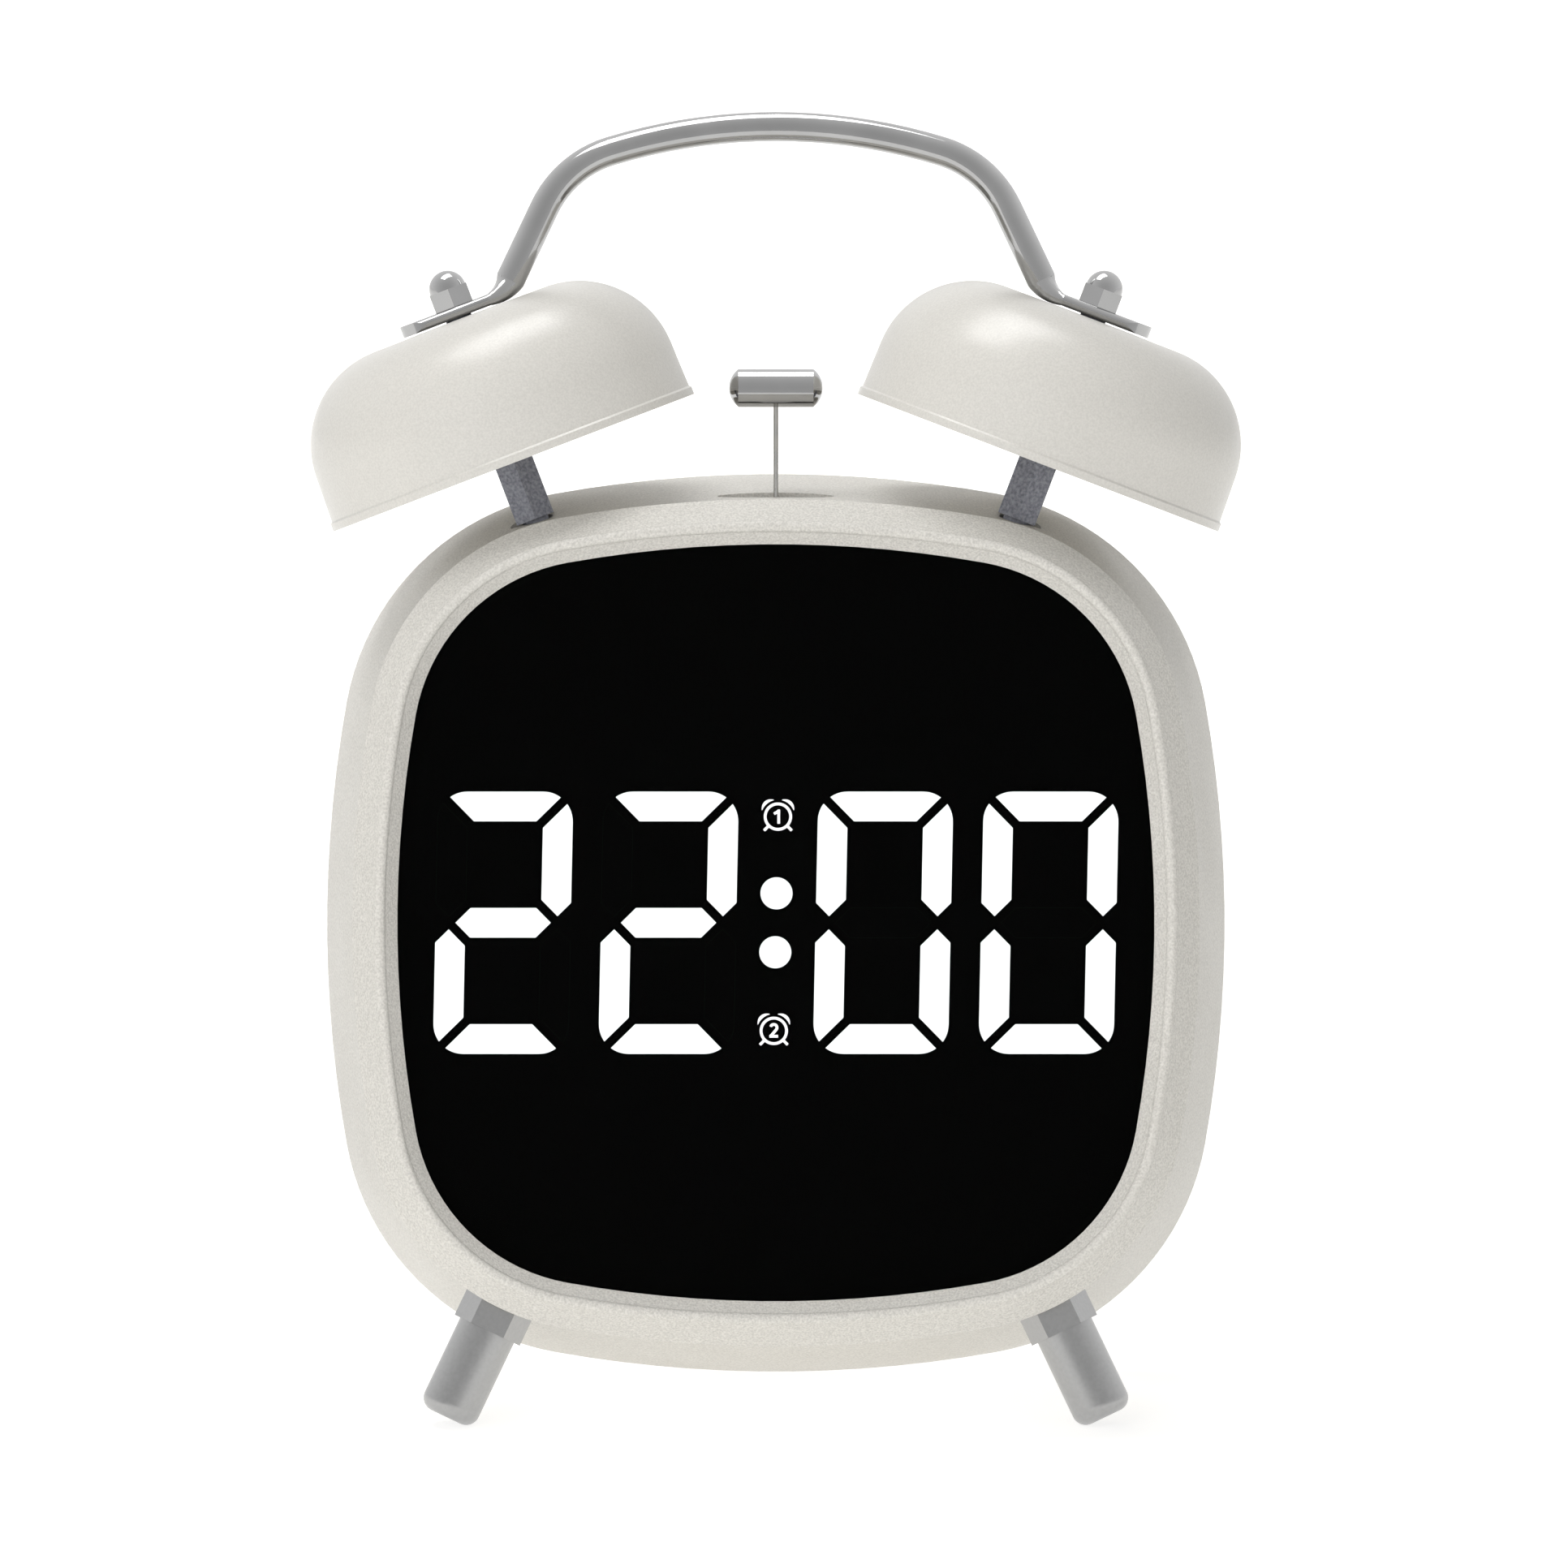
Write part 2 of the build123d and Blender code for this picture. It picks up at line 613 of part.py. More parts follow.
# Display shield: a black mask behind the lens, and a block of light wells behind the figures
with BuildPart() as display_shield:
    extrude(outline_sketch(MASK_Y, LENS_INSET), amount=MASK_THICKNESS, dir=BACK)
    with BuildSketch(face_plane(MASK_Y)):
        Rectangle(2 * BLOCK_HALF_X, 2 * BLOCK_HALF_Z)
        with Locations(*DISPLAY_BOSSES):
            Circle(DISPLAY_BOSS_DIAMETER / 2)
    extrude(amount=SHIELD_BACK - MASK_Y, dir=BACK)
    for place in DIGIT_PLACES:
        for well in segment_faces(place, WELL_GAP).values():
            extrude(well, amount=SHIELD_BACK - MASK_Y, dir=BACK, mode=Mode.SUBTRACT)
    with BuildSketch(face_plane(MASK_Y)):
        with Locations(*DOT_PLACES):
            Circle(DOT_DIAMETER / 2 + WELL_GAP)
    extrude(amount=SHIELD_BACK - MASK_Y, dir=BACK, mode=Mode.SUBTRACT)
    with BuildSketch(face_plane(SHIELD_BACK)):
        with Locations(*DISPLAY_BOSSES):
            Circle(SMALL_SCREW_DIAMETER / 2 + PILOT_FIT)
    extrude(amount=-SMALL_SCREW_LENGTH, dir=BACK, mode=Mode.SUBTRACT)
pieces["display_shield"] = display_shield

# Light guides of the segments, as far back as the board
with BuildPart() as lit_segments:
    for place, shown in zip(DIGIT_PLACES, SHOWN):
        for name, face in segment_faces(place).items():
            if name in shown:
                extrude(face, amount=SHIELD_BACK - MASK_Y, dir=BACK)
    with BuildSketch(face_plane(MASK_Y)):
        with Locations(*DOT_PLACES):
            Circle(DOT_DIAMETER / 2)
    extrude(amount=SHIELD_BACK - MASK_Y, dir=BACK)
pieces["lit_segments"] = lit_segments

with BuildPart() as unlit_segments:
    for place, shown in zip(DIGIT_PLACES, SHOWN):
        for name, face in segment_faces(place).items():
            if name not in shown:
                extrude(face, amount=SHIELD_BACK - MASK_Y, dir=BACK)
pieces["unlit_segments"] = unlit_segments

with BuildPart() as display_board:
    with BuildSketch(face_plane(SHIELD_BACK)):
        Rectangle(2 * DISPLAY_HALF_X, 2 * DISPLAY_HALF_Z)
        with Locations(*DISPLAY_BOSSES):
            Circle(SMALL_SCREW_DIAMETER / 2 + SCREW_FIT, mode=Mode.SUBTRACT)
    extrude(amount=BOARD_THICKNESS, dir=BACK)
pieces["display_board"] = display_board


def back_plane(depth):
    """Plane that looks out of the back, with X to the right as seen from the front."""
    return Plane(origin=(0, depth, 0), x_dir=(1, 0, 0), z_dir=BACK)


def from_behind(places):
    """Places on the face as a plane that looks out of the back counts them."""
    return [(x, -z) for x, z in places]


with BuildPart() as display_screws:
    add_screws(
        back_plane(DISPLAY_BOARD_BACK),
        from_behind(DISPLAY_BOSSES),
        SMALL_SCREW_DIAMETER,
        SMALL_SCREW_LENGTH,
        SMALL_HEAD_DIAMETER,
        SMALL_HEAD_HEIGHT,
    )
pieces["display_screws"] = display_screws

# Places on the back
CELL_Y = BACK_Y - DOOR_THICKNESS - FIT - CELL_DIAMETER / 2
BAY_FLOOR = CELL_Y - CELL_DIAMETER / 2 - FIT
BAY_HALF_X = CELL_LENGTH / 2 + CONTACT_GAP + CONTACT_THICKNESS
BAY_TOP = BAY_MIDDLE_Z + CELL_PITCH * (CELL_COUNT - 1) / 2 + CELL_DIAMETER / 2 + FIT
BAY_BOTTOM = BAY_MIDDLE_Z - CELL_PITCH * (CELL_COUNT - 1) / 2 - CELL_DIAMETER / 2 - BAY_FOOT_ROOM
BAY_Z = (BAY_TOP + BAY_BOTTOM) / 2
BAY_HEIGHT = BAY_TOP - BAY_BOTTOM
DOOR_Y = BACK_Y - DOOR_THICKNESS
STANDOFF_X = CONTROL_BOARD_WIDTH / 2 - STANDOFF_MARGIN
STANDOFF_Z = CONTROL_BOARD_HEIGHT / 2 - STANDOFF_MARGIN
STANDOFFS = [(x * STANDOFF_X, CONTROL_BOARD_Z + z * STANDOFF_Z) for x in (-1, 1) for z in (-1, 1)]
BUTTONS = {
    "mode_button": -1.5 * BUTTON_PITCH,
    "up_button": -0.5 * BUTTON_PITCH,
    "down_button": 0.5 * BUTTON_PITCH,
    "alarm_button": 1.5 * BUTTON_PITCH,
}
BUTTON_PLACES = [(x, BUTTON_Z) for x in BUTTONS.values()]
TOWER_START = BOSS_END + FIT
HEAD_SEAT = TOWER_START + CASE_SCREW_SEAT


# Rear case: a lip over the tongue, the rest of the rear flare, a rounded rim and the flat back
def rear_case_profile(radius):
    seam = radius - SEAM_INSET
    lip = seam - LAP_LIP
    step = SEAM_Y + LAP_LENGTH + FIT
    inner = radius - CASE_WALL
    middle = (SEAM_Y + RIM_Y) / 2
    round_x, round_y = polar(RIM_FILLET, 45)
    plate = radius - RIM_FILLET - 2 * CASE_WALL
    ThreePointArc((seam, SEAM_Y), (radius - flare_inset(middle), middle), (radius, RIM_Y))
    Line((radius, RIM_Y), (radius, RIM_END))
    ThreePointArc(
        (radius, RIM_END),
        (radius - RIM_FILLET + round_x, RIM_END + round_y),
        (radius - RIM_FILLET, BACK_Y),
    )
    Polyline(
        (radius - RIM_FILLET, BACK_Y),
        (plate, BACK_Y),
        (plate, BACK_INNER),
        (inner, BACK_INNER),
        (inner, RIM_Y),
        (radius - WALL_INSET - FIT, step),
        (lip, step),
        (lip, SEAM_Y),
        (seam, SEAM_Y),
    )


with BuildPart() as rear_case:
    add_ring(rear_case_profile)
    extrude(outline_sketch(BACK_INNER, RIM_FILLET + CASE_WALL), amount=CASE_WALL, dir=BACK)
    # Towers for the case screws, with the heads sunk deep in their wells
    with BuildSketch(face_plane(TOWER_START)):
        with Locations(*BOSS_PLACES):
            Circle(CASE_TOWER_DIAMETER / 2)
    extrude(amount=BACK_INNER - TOWER_START, dir=BACK)
    with BuildSketch(face_plane(TOWER_START)):
        with Locations(*BOSS_PLACES):
            Circle(CASE_SCREW_DIAMETER / 2 + SCREW_FIT)
    extrude(amount=CASE_SCREW_SEAT, dir=BACK, mode=Mode.SUBTRACT)
    with BuildSketch(face_plane(HEAD_SEAT)):
        with Locations(*BOSS_PLACES):
            Circle(CASE_HEAD_DIAMETER / 2 + SCREW_FIT)
    extrude(amount=BACK_Y - HEAD_SEAT, dir=BACK, mode=Mode.SUBTRACT)
    # Battery bay, with a ledge for its door
    with BuildSketch(face_plane(BAY_FLOOR - CASE_WALL / 2)):
        with Locations((0, BAY_Z)):
            Rectangle(2 * (BAY_HALF_X + BAY_WALL), BAY_HEIGHT + 2 * BAY_WALL)
    extrude(amount=BACK_INNER - BAY_FLOOR + CASE_WALL / 2, dir=BACK)
    with BuildSketch(face_plane(BAY_FLOOR)):
        with Locations((0, BAY_Z)):
            Rectangle(2 * BAY_HALF_X, BAY_HEIGHT)
    extrude(amount=BACK_Y - BAY_FLOOR, dir=BACK, mode=Mode.SUBTRACT)
    with BuildSketch(face_plane(DOOR_Y)):
        with Locations((0, BAY_Z)):
            Rectangle(2 * (BAY_HALF_X + DOOR_LEDGE), BAY_HEIGHT + 2 * DOOR_LEDGE)
    extrude(amount=DOOR_THICKNESS, dir=BACK, mode=Mode.SUBTRACT)
    # Standoffs of the control board
    with BuildSketch(face_plane(CONTROL_BOARD_BACK)):
        with Locations(*STANDOFFS):
            Circle(STANDOFF_DIAMETER / 2)
    extrude(amount=BOARD_STANDOFF, dir=BACK)
    with BuildSketch(face_plane(CONTROL_BOARD_BACK)):
        with Locations(*STANDOFFS):
            Circle(SMALL_SCREW_DIAMETER / 2 + PILOT_FIT)
    extrude(amount=SMALL_SCREW_LENGTH - BOARD_THICKNESS + PILOT_SPARE, dir=BACK, mode=Mode.SUBTRACT)
    # Button holes and the opening of the power inlet
    with BuildSketch(face_plane(BACK_INNER)):
        with Locations(*BUTTON_PLACES):
            Circle(BUTTON_DIAMETER / 2 + BUTTON_GAP)
        with Locations((0, INLET_Z)):
            RectangleRounded(INLET_WIDTH + 2 * FIT, INLET_HEIGHT + 2 * FIT, INLET_CORNER + FIT)
    extrude(amount=CASE_WALL, dir=BACK, mode=Mode.SUBTRACT)
pieces["rear_case"] = rear_case

with BuildPart() as case_screws:
    add_screws(
        back_plane(HEAD_SEAT),
        from_behind(BOSS_PLACES),
        CASE_SCREW_DIAMETER,
        CASE_SCREW_LENGTH,
        CASE_HEAD_DIAMETER,
        CASE_HEAD_HEIGHT,
    )
pieces["case_screws"] = case_screws

# Battery door: a flush plate with grip ribs near its top and two locating tabs at its foot
DOOR_WIDTH = 2 * (BAY_HALF_X + DOOR_LEDGE - DOOR_GAP)
DOOR_HEIGHT = BAY_HEIGHT + 2 * (DOOR_LEDGE - DOOR_GAP)
with BuildPart() as battery_door:
    with BuildSketch(face_plane(DOOR_Y)):
        with Locations((0, BAY_Z)):
            Rectangle(DOOR_WIDTH, DOOR_HEIGHT)
    extrude(amount=DOOR_THICKNESS, dir=BACK)
    with BuildSketch(face_plane(BACK_Y - DOOR_RIB_DEPTH)):
        with Locations((0, BAY_TOP - DOOR_RIB_COUNT * DOOR_RIB_PITCH)):
            with GridLocations(0, DOOR_RIB_PITCH, 1, DOOR_RIB_COUNT):
                SlotOverall(DOOR_RIB_LENGTH, DOOR_RIB_PITCH / 2)
    extrude(amount=DOOR_RIB_DEPTH, dir=BACK, mode=Mode.SUBTRACT)
    with BuildSketch(face_plane(DOOR_Y - DOOR_TAB_LENGTH)):
        with Locations((0, BAY_BOTTOM + FIT + DOOR_TAB_THICKNESS / 2)):
            with GridLocations(BAY_HALF_X, 0, 2, 1):
                Rectangle(DOOR_TAB_WIDTH, DOOR_TAB_THICKNESS)
    extrude(amount=DOOR_TAB_LENGTH, dir=BACK)
pieces["battery_door"] = battery_door

# Cells lie across the bay, each one turned round from the next
CELL_PLACES = [BAY_MIDDLE_Z + CELL_PITCH * (i - (CELL_COUNT - 1) / 2) for i in range(CELL_COUNT)]
with BuildPart() as battery_cells:
    for index, height in enumerate(CELL_PLACES):
        way = 1 if index % 2 == 0 else -1
        cell_end = Plane((way * CELL_LENGTH / 2, CELL_Y, height), (0, 1, 0), (-way, 0, 0))
        with BuildSketch(cell_end):
            Circle(CELL_NUB_DIAMETER / 2)
        extrude(amount=CELL_NUB_LENGTH)
        with BuildSketch(cell_end.offset(CELL_NUB_LENGTH)):
            Circle(CELL_DIAMETER / 2)
        extrude(amount=CELL_LENGTH - CELL_NUB_LENGTH)
pieces["battery_cells"] = battery_cells

with BuildPart() as battery_contacts:
    for side in SIDES.values():
        plate_x = side * (BAY_HALF_X - CONTACT_THICKNESS)
        with BuildSketch(Plane((plate_x, CELL_Y, BAY_MIDDLE_Z), (0, 1, 0), (side, 0, 0))):
            with GridLocations(0, CELL_PITCH, 1, CELL_COUNT):
                Rectangle(CONTACT_SIZE, CONTACT_SIZE)
        extrude(amount=CONTACT_THICKNESS)
pieces["battery_contacts"] = battery_contacts

with BuildPart() as control_board:
    with BuildSketch(face_plane(CONTROL_BOARD_FRONT)):
        with Locations((0, CONTROL_BOARD_Z)):
            Rectangle(CONTROL_BOARD_WIDTH, CONTROL_BOARD_HEIGHT)
        with Locations(*STANDOFFS):
            Circle(SMALL_SCREW_DIAMETER / 2 + SCREW_FIT, mode=Mode.SUBTRACT)
    extrude(amount=BOARD_THICKNESS, dir=BACK)
pieces["control_board"] = control_board

with BuildPart() as control_screws:
    add_screws(
        face_plane(CONTROL_BOARD_FRONT),
        STANDOFFS,
        SMALL_SCREW_DIAMETER,
        SMALL_SCREW_LENGTH,
        SMALL_HEAD_DIAMETER,
        SMALL_HEAD_HEIGHT,
    )
pieces["control_screws"] = control_screws

# Tact switches, each with a well that the button's stem enters
SWITCH_TOP = CONTROL_BOARD_BACK + SWITCH_HEIGHT
SWITCH_WELL = STEM_ENTRY + BUTTON_TRAVEL + STEM_SPARE
with BuildPart() as tact_switches:
    with BuildSketch(face_plane(CONTROL_BOARD_BACK)):
        with Locations(*BUTTON_PLACES):
            Rectangle(SWITCH_SIZE, SWITCH_SIZE)
    extrude(amount=SWITCH_HEIGHT, dir=BACK)
    with BuildSketch(face_plane(SWITCH_TOP - SWITCH_WELL)):
        with Locations(*BUTTON_PLACES):
            Circle(STEM_DIAMETER / 2 + SCREW_FIT)
    extrude(amount=SWITCH_WELL, dir=BACK, mode=Mode.SUBTRACT)
pieces["tact_switches"] = tact_switches

# Push buttons: a cap through the back, a flange behind the wall and a stem into the switch
FLANGE_BACK = BACK_INNER - FIT
FLANGE_FRONT = FLANGE_BACK - FLANGE_THICKNESS
CAP_END = BACK_Y + BUTTON_PROUD
STEM_START = SWITCH_TOP - STEM_ENTRY
for name, x in BUTTONS.items():
    with BuildPart() as button:
        with BuildSketch(back_plane(STEM_START)):
            with Locations((x, -BUTTON_Z)):
                Circle(STEM_DIAMETER / 2)
        extrude(amount=FLANGE_FRONT - STEM_START)
        with BuildSketch(back_plane(FLANGE_FRONT)):
            with Locations((x, -BUTTON_Z)):
                Circle(BUTTON_DIAMETER / 2 + FLANGE_WIDTH)
        extrude(amount=FLANGE_THICKNESS)
        with BuildSketch(back_plane(FLANGE_BACK)):
            with Locations((x, -BUTTON_Z)):
                Circle(BUTTON_DIAMETER / 2)
        extrude(amount=CAP_END - FLANGE_BACK)
        chamfer(button.faces().sort_by(Axis.Y)[-1].edges(), length=BUTTON_PROUD / 2)
    pieces[name] = button

# Power inlet: a rounded shell round a tongue, open at the back
INLET_END = BACK_Y - FIT
with BuildPart() as inlet_socket:
    inlet_base = back_plane(CONTROL_BOARD_BACK)
    with BuildSketch(inlet_base):
        with Locations((0, -INLET_Z)):
            RectangleRounded(INLET_WIDTH, INLET_HEIGHT, INLET_CORNER)
    extrude(amount=INLET_END - CONTROL_BOARD_BACK)
    with BuildSketch(inlet_base.offset(INLET_FLOOR)):
        with Locations((0, -INLET_Z)):
            RectangleRounded(
                INLET_WIDTH - 2 * INLET_SHELL, INLET_HEIGHT - 2 * INLET_SHELL, INLET_CORNER - INLET_SHELL
            )
    extrude(amount=INLET_END - CONTROL_BOARD_BACK - INLET_FLOOR, mode=Mode.SUBTRACT)
    with BuildSketch(inlet_base.offset(INLET_FLOOR)):
        with Locations((0, -INLET_Z)):
            Rectangle(TONGUE_WIDTH, TONGUE_THICKNESS)
    extrude(amount=INLET_END - CONTROL_BOARD_BACK - INLET_FLOOR - TONGUE_SETBACK)
pieces["inlet_socket"] = inlet_socket

# Ribbon cable from the display board to the control board, with a slack wave
with BuildPart() as ribbon_cable:
    span = CONTROL_BOARD_FRONT - DISPLAY_BOARD_BACK
    side_view = Plane(origin=(RIBBON_X, DISPLAY_BOARD_BACK, RIBBON_Z), x_dir=BACK, z_dir=(1, 0, 0))
    with BuildSketch(side_view):
        with BuildLine():
            FilletPolyline(
                (0, 0),
                (RIBBON_LEAD, 0),
                (span / 2, RIBBON_SLACK),
                (span - RIBBON_LEAD, 0),
                (span, 0),
                radius=RIBBON_BEND,
            )
        trace(line_width=RIBBON_THICKNESS)
    extrude(amount=RIBBON_WIDTH / 2, both=True)
pieces["ribbon_cable"] = ribbon_cable


# Bells: an outer form less an inner one, with a rolled band at the rim
def bell_section(plane, shrink, band):
    """Half section of a bell, shrunk by a wall, on a plane through its axis."""
    rim = BELL_DIAMETER / 2 - shrink
    side = rim - band
    shoulder = (side - BELL_TAPER, RIM_RISE + BELL_HEIGHT - BELL_CROWN - shrink)
    top = RIM_RISE + BELL_HEIGHT - shrink
    with BuildSketch(upright(plane)) as section:
        with BuildLine():
            Polyline(
                (0, RIM_RISE),
                (rim, RIM_RISE),
                (rim, RIM_RISE + RIM_BAND),
                (side, RIM_RISE + RIM_BAND + band),
                shoulder,
                (BELL_SEAT_DIAMETER / 2, top),
                (0, top),
                (0, RIM_RISE),
            )
        make_face()
        corner = section.vertices().sort_by_distance((*shoulder, 0))[0]
        fillet(corner, radius=BELL_SHOULDER - shrink)
    return section.sketch


for label, side in SIDES.items():
    base = bell_plane(side)
    with BuildPart() as bell:
        revolve(bell_section(base, 0, RIM_STEP), axis=axis_of(base))
        revolve(bell_section(base, BELL_WALL, RIM_STEP), axis=axis_of(base), mode=Mode.SUBTRACT)
        with BuildSketch(base.offset(POST_END)):
            Circle(STUD_HOLE)
        extrude(amount=2 * BELL_WALL, mode=Mode.SUBTRACT)
    pieces[f"{label}_bell"] = bell

    with BuildPart() as post:
        with BuildSketch(base.offset(POST_SEAT)):
            Circle(SPIGOT_DIAMETER / 2)
        extrude(amount=SPIGOT_LENGTH)
        with BuildSketch(base.offset(POST_START)):
            RegularPolygon(POST_FLATS / 2, 6, major_radius=False, rotation=30)
        extrude(amount=POST_END - POST_START)
        with BuildSketch(base.offset(POST_SEAT)):
            Circle(STUD_HOLE)
        extrude(amount=POST_END - POST_SEAT, mode=Mode.SUBTRACT)
    pieces[f"{label}_post"] = post

    with BuildPart() as foot:
        foot_base = foot_plane(side)
        with BuildSketch(foot_base.offset(FOOT_NUT_SEAT - FOOT_NUT_THICKNESS - STUD_END)):
            Circle(FOOT_STUD_DIAMETER / 2)
        extrude(amount=FOOT_SEAT - FOOT_NUT_SEAT + FOOT_NUT_THICKNESS + STUD_END)
        with BuildSketch(foot_base.offset(COLLAR_HEIGHT)):
            Circle(FOOT_DIAMETER / 2)
        extrude(amount=FOOT_LENGTH)
        fillet(foot.faces().sort_by(axis_of(foot_base))[-1].edges(), radius=FOOT_FILLET)
        with BuildSketch(foot_base.offset(FOOT_SEAT)):
            RegularPolygon(COLLAR_FLATS / 2, 6, major_radius=False)
        extrude(amount=COLLAR_HEIGHT - FOOT_SEAT)
    pieces[f"{label}_foot"] = foot

# Hardware that both bells share
STUD_START = STUD_SEAT - NUT_THICKNESS - STUD_END
STUD_TOP = TAB_END + ACORN_HEX + ACORN_DOME / 4
with BuildPart() as bell_studs:
    for side in SIDES.values():
        with BuildSketch(bell_plane(side).offset(STUD_START)):
            Circle(STUD_DIAMETER / 2)
        extrude(amount=STUD_TOP - STUD_START)
pieces["bell_studs"] = bell_studs

with BuildPart() as spacer_washers:
    for side in SIDES.values():
        with BuildSketch(bell_plane(side).offset(BELL_TOP)):
            Circle(SPACER_DIAMETER / 2)
            Circle(STUD_HOLE, mode=Mode.SUBTRACT)
        extrude(amount=SPACER_THICKNESS)
pieces["spacer_washers"] = spacer_washers

with BuildPart() as acorn_nuts:
    for side in SIDES.values():
        nut_base = bell_plane(side).offset(TAB_END)
        with BuildSketch(nut_base):
            RegularPolygon(ACORN_FLATS / 2, 6, major_radius=False, rotation=30)
        extrude(amount=ACORN_HEX)
        with BuildSketch(upright(nut_base.offset(ACORN_HEX))):
            with BuildLine():
                CenterArc((0, 0), ACORN_DOME / 2, 0, 90)
                Polyline((0, ACORN_DOME / 2), (0, 0), (ACORN_DOME / 2, 0))
            make_face()
        revolve(axis=axis_of(nut_base))
        with BuildSketch(nut_base):
            Circle(STUD_DIAMETER / 2 + PILOT_FIT)
        extrude(amount=STUD_TOP - TAB_END + PILOT_FIT, mode=Mode.SUBTRACT)
pieces["acorn_nuts"] = acorn_nuts

with BuildPart() as post_nuts:
    for side in SIDES.values():
        with BuildSketch(bell_plane(side).offset(STUD_SEAT)):
            RegularPolygon(POST_FLATS / 2, 6, major_radius=False)
            Circle(STUD_DIAMETER / 2 + PILOT_FIT, mode=Mode.SUBTRACT)
        extrude(amount=-NUT_THICKNESS)
pieces["post_nuts"] = post_nuts

with BuildPart() as foot_nuts:
    for side in SIDES.values():
        with BuildSketch(foot_plane(side).offset(FOOT_NUT_SEAT)):
            RegularPolygon(FOOT_NUT_FLATS / 2, 6, major_radius=False)
            Circle(FOOT_STUD_DIAMETER / 2 + PILOT_FIT, mode=Mode.SUBTRACT)
        extrude(amount=-FOOT_NUT_THICKNESS)
pieces["foot_nuts"] = foot_nuts


# Handle: half of it is drawn, from the top of the arch to one flattened end, and mirrored
def rod_section(plane, half_width, half_thickness, flatness):
    """Rod section from four arcs: round at flatness 0, a flat strap with round edges at flatness 1."""
    round_part = math.sqrt(0.5)
    edge_x = half_width * round_part * (1 - flatness) + (half_width - half_thickness * TAB_EDGE) * flatness
    edge_z = half_thickness * (round_part * (1 - flatness) + TAB_CROWN * flatness)
    with BuildSketch(plane) as section:
        with BuildLine():
            ThreePointArc((edge_x, edge_z), (0, half_thickness), (-edge_x, edge_z))
            ThreePointArc((-edge_x, edge_z), (-half_width, 0), (-edge_x, -edge_z))
            ThreePointArc((-edge_x, -edge_z), (0, -half_thickness), (edge_x, -edge_z))
            ThreePointArc((edge_x, -edge_z), (half_width, 0), (edge_x, edge_z))
        make_face()
    return section.sketch


right_bell_plane = bell_plane(1)
tab_middle = right_bell_plane.origin + right_bell_plane.z_dir * TAB_MIDDLE
bend_corner = tab_middle - right_bell_plane.x_dir * BEND_OFFSET
leg_down = Vector(math.sin(math.radians(LEG_SPLAY)), 0, -math.cos(math.radians(LEG_SPLAY)))
leg_out = Vector(math.cos(math.radians(LEG_SPLAY)), 0, math.sin(math.radians(LEG_SPLAY)))
arch_centre = Vector(0, HARDWARE_Y, HANDLE_TOP - ROD_DIAMETER / 2 - ARCH_RADIUS)
shoulder_step = ARCH_RADIUS - SHOULDER_RADIUS
shoulder_line = bend_corner - leg_out * SHOULDER_RADIUS - arch_centre
along = shoulder_line.dot(leg_down)
rise = along + math.sqrt(along**2 - shoulder_line.length**2 + shoulder_step**2)
shoulder_centre = arch_centre + shoulder_line - leg_down * rise
shoulder_end = shoulder_centre + leg_out * SHOULDER_RADIUS
shoulder_offset = shoulder_centre - arch_centre
shoulder_angle = math.degrees(math.atan2(shoulder_offset.Z, shoulder_offset.X))
bend_turn = 90 - LEG_SPLAY - BELL_TILT
bend_tangent = BEND_RADIUS * math.tan(math.radians(bend_turn / 2))
leg_end = bend_corner - leg_down * bend_tangent
bend_centre = leg_end + leg_out * BEND_RADIUS

with BuildPart() as handle:
    with BuildLine(face_plane(HARDWARE_Y)) as handle_path:
        CenterArc((arch_centre.X, arch_centre.Z), ARCH_RADIUS, 90, shoulder_angle - 90)
        CenterArc(
            (shoulder_centre.X, shoulder_centre.Z),
            SHOULDER_RADIUS,
            shoulder_angle,
            LEG_SPLAY - shoulder_angle,
        )
        Line((shoulder_end.X, shoulder_end.Z), (leg_end.X, leg_end.Z))
    top_plane = Plane(arch_centre + Vector(0, 0, ARCH_RADIUS), x_dir=BACK, z_dir=(1, 0, 0))
    sweep(rod_section(top_plane, ROD_DIAMETER / 2, ROD_DIAMETER / 2, 0), path=handle_path.line)
    # The end is flattened round the bend
    strap_sections = []
    for step in (0, 0.25, 0.5, 0.75, 1):
        turned = LEG_SPLAY + 180 + bend_turn * step
        arm_x, arm_z = polar(BEND_RADIUS, turned)
        travel_x, travel_z = polar(1, turned + 90)
        spot = bend_centre + Vector(arm_x, 0, arm_z)
        half_width = ROD_DIAMETER / 2 + step * (TAB_WIDTH - ROD_DIAMETER) / 2
        half_thickness = ROD_DIAMETER / 2 + step * (TAB_THICKNESS - ROD_DIAMETER) / 2
        strap_plane = Plane(spot, x_dir=BACK, z_dir=(travel_x, 0, travel_z))
        strap_sections.append(rod_section(strap_plane, half_width, half_thickness, step))
    loft(strap_sections)
    extrude(strap_sections[-1], amount=BEND_OFFSET - bend_tangent + TAB_REACH)
    # Round end of the tab, and its hole
    with BuildSketch(right_bell_plane.offset(TAB_START - TAB_THICKNESS)):
        with Locations((TAB_REACH, 0)):
            Rectangle(TAB_WIDTH, 2 * TAB_WIDTH)
        with Locations((TAB_REACH - TAB_WIDTH / 2, 0)):
            Circle(TAB_WIDTH / 2, mode=Mode.SUBTRACT)
    extrude(amount=3 * TAB_THICKNESS, mode=Mode.SUBTRACT)
    with BuildSketch(right_bell_plane.offset(TAB_START)):
        Circle(STUD_HOLE + STUD_FIT)
    extrude(amount=2 * TAB_THICKNESS, both=True, mode=Mode.SUBTRACT)
    mirror(about=Plane.YZ)
pieces["handle"] = handle

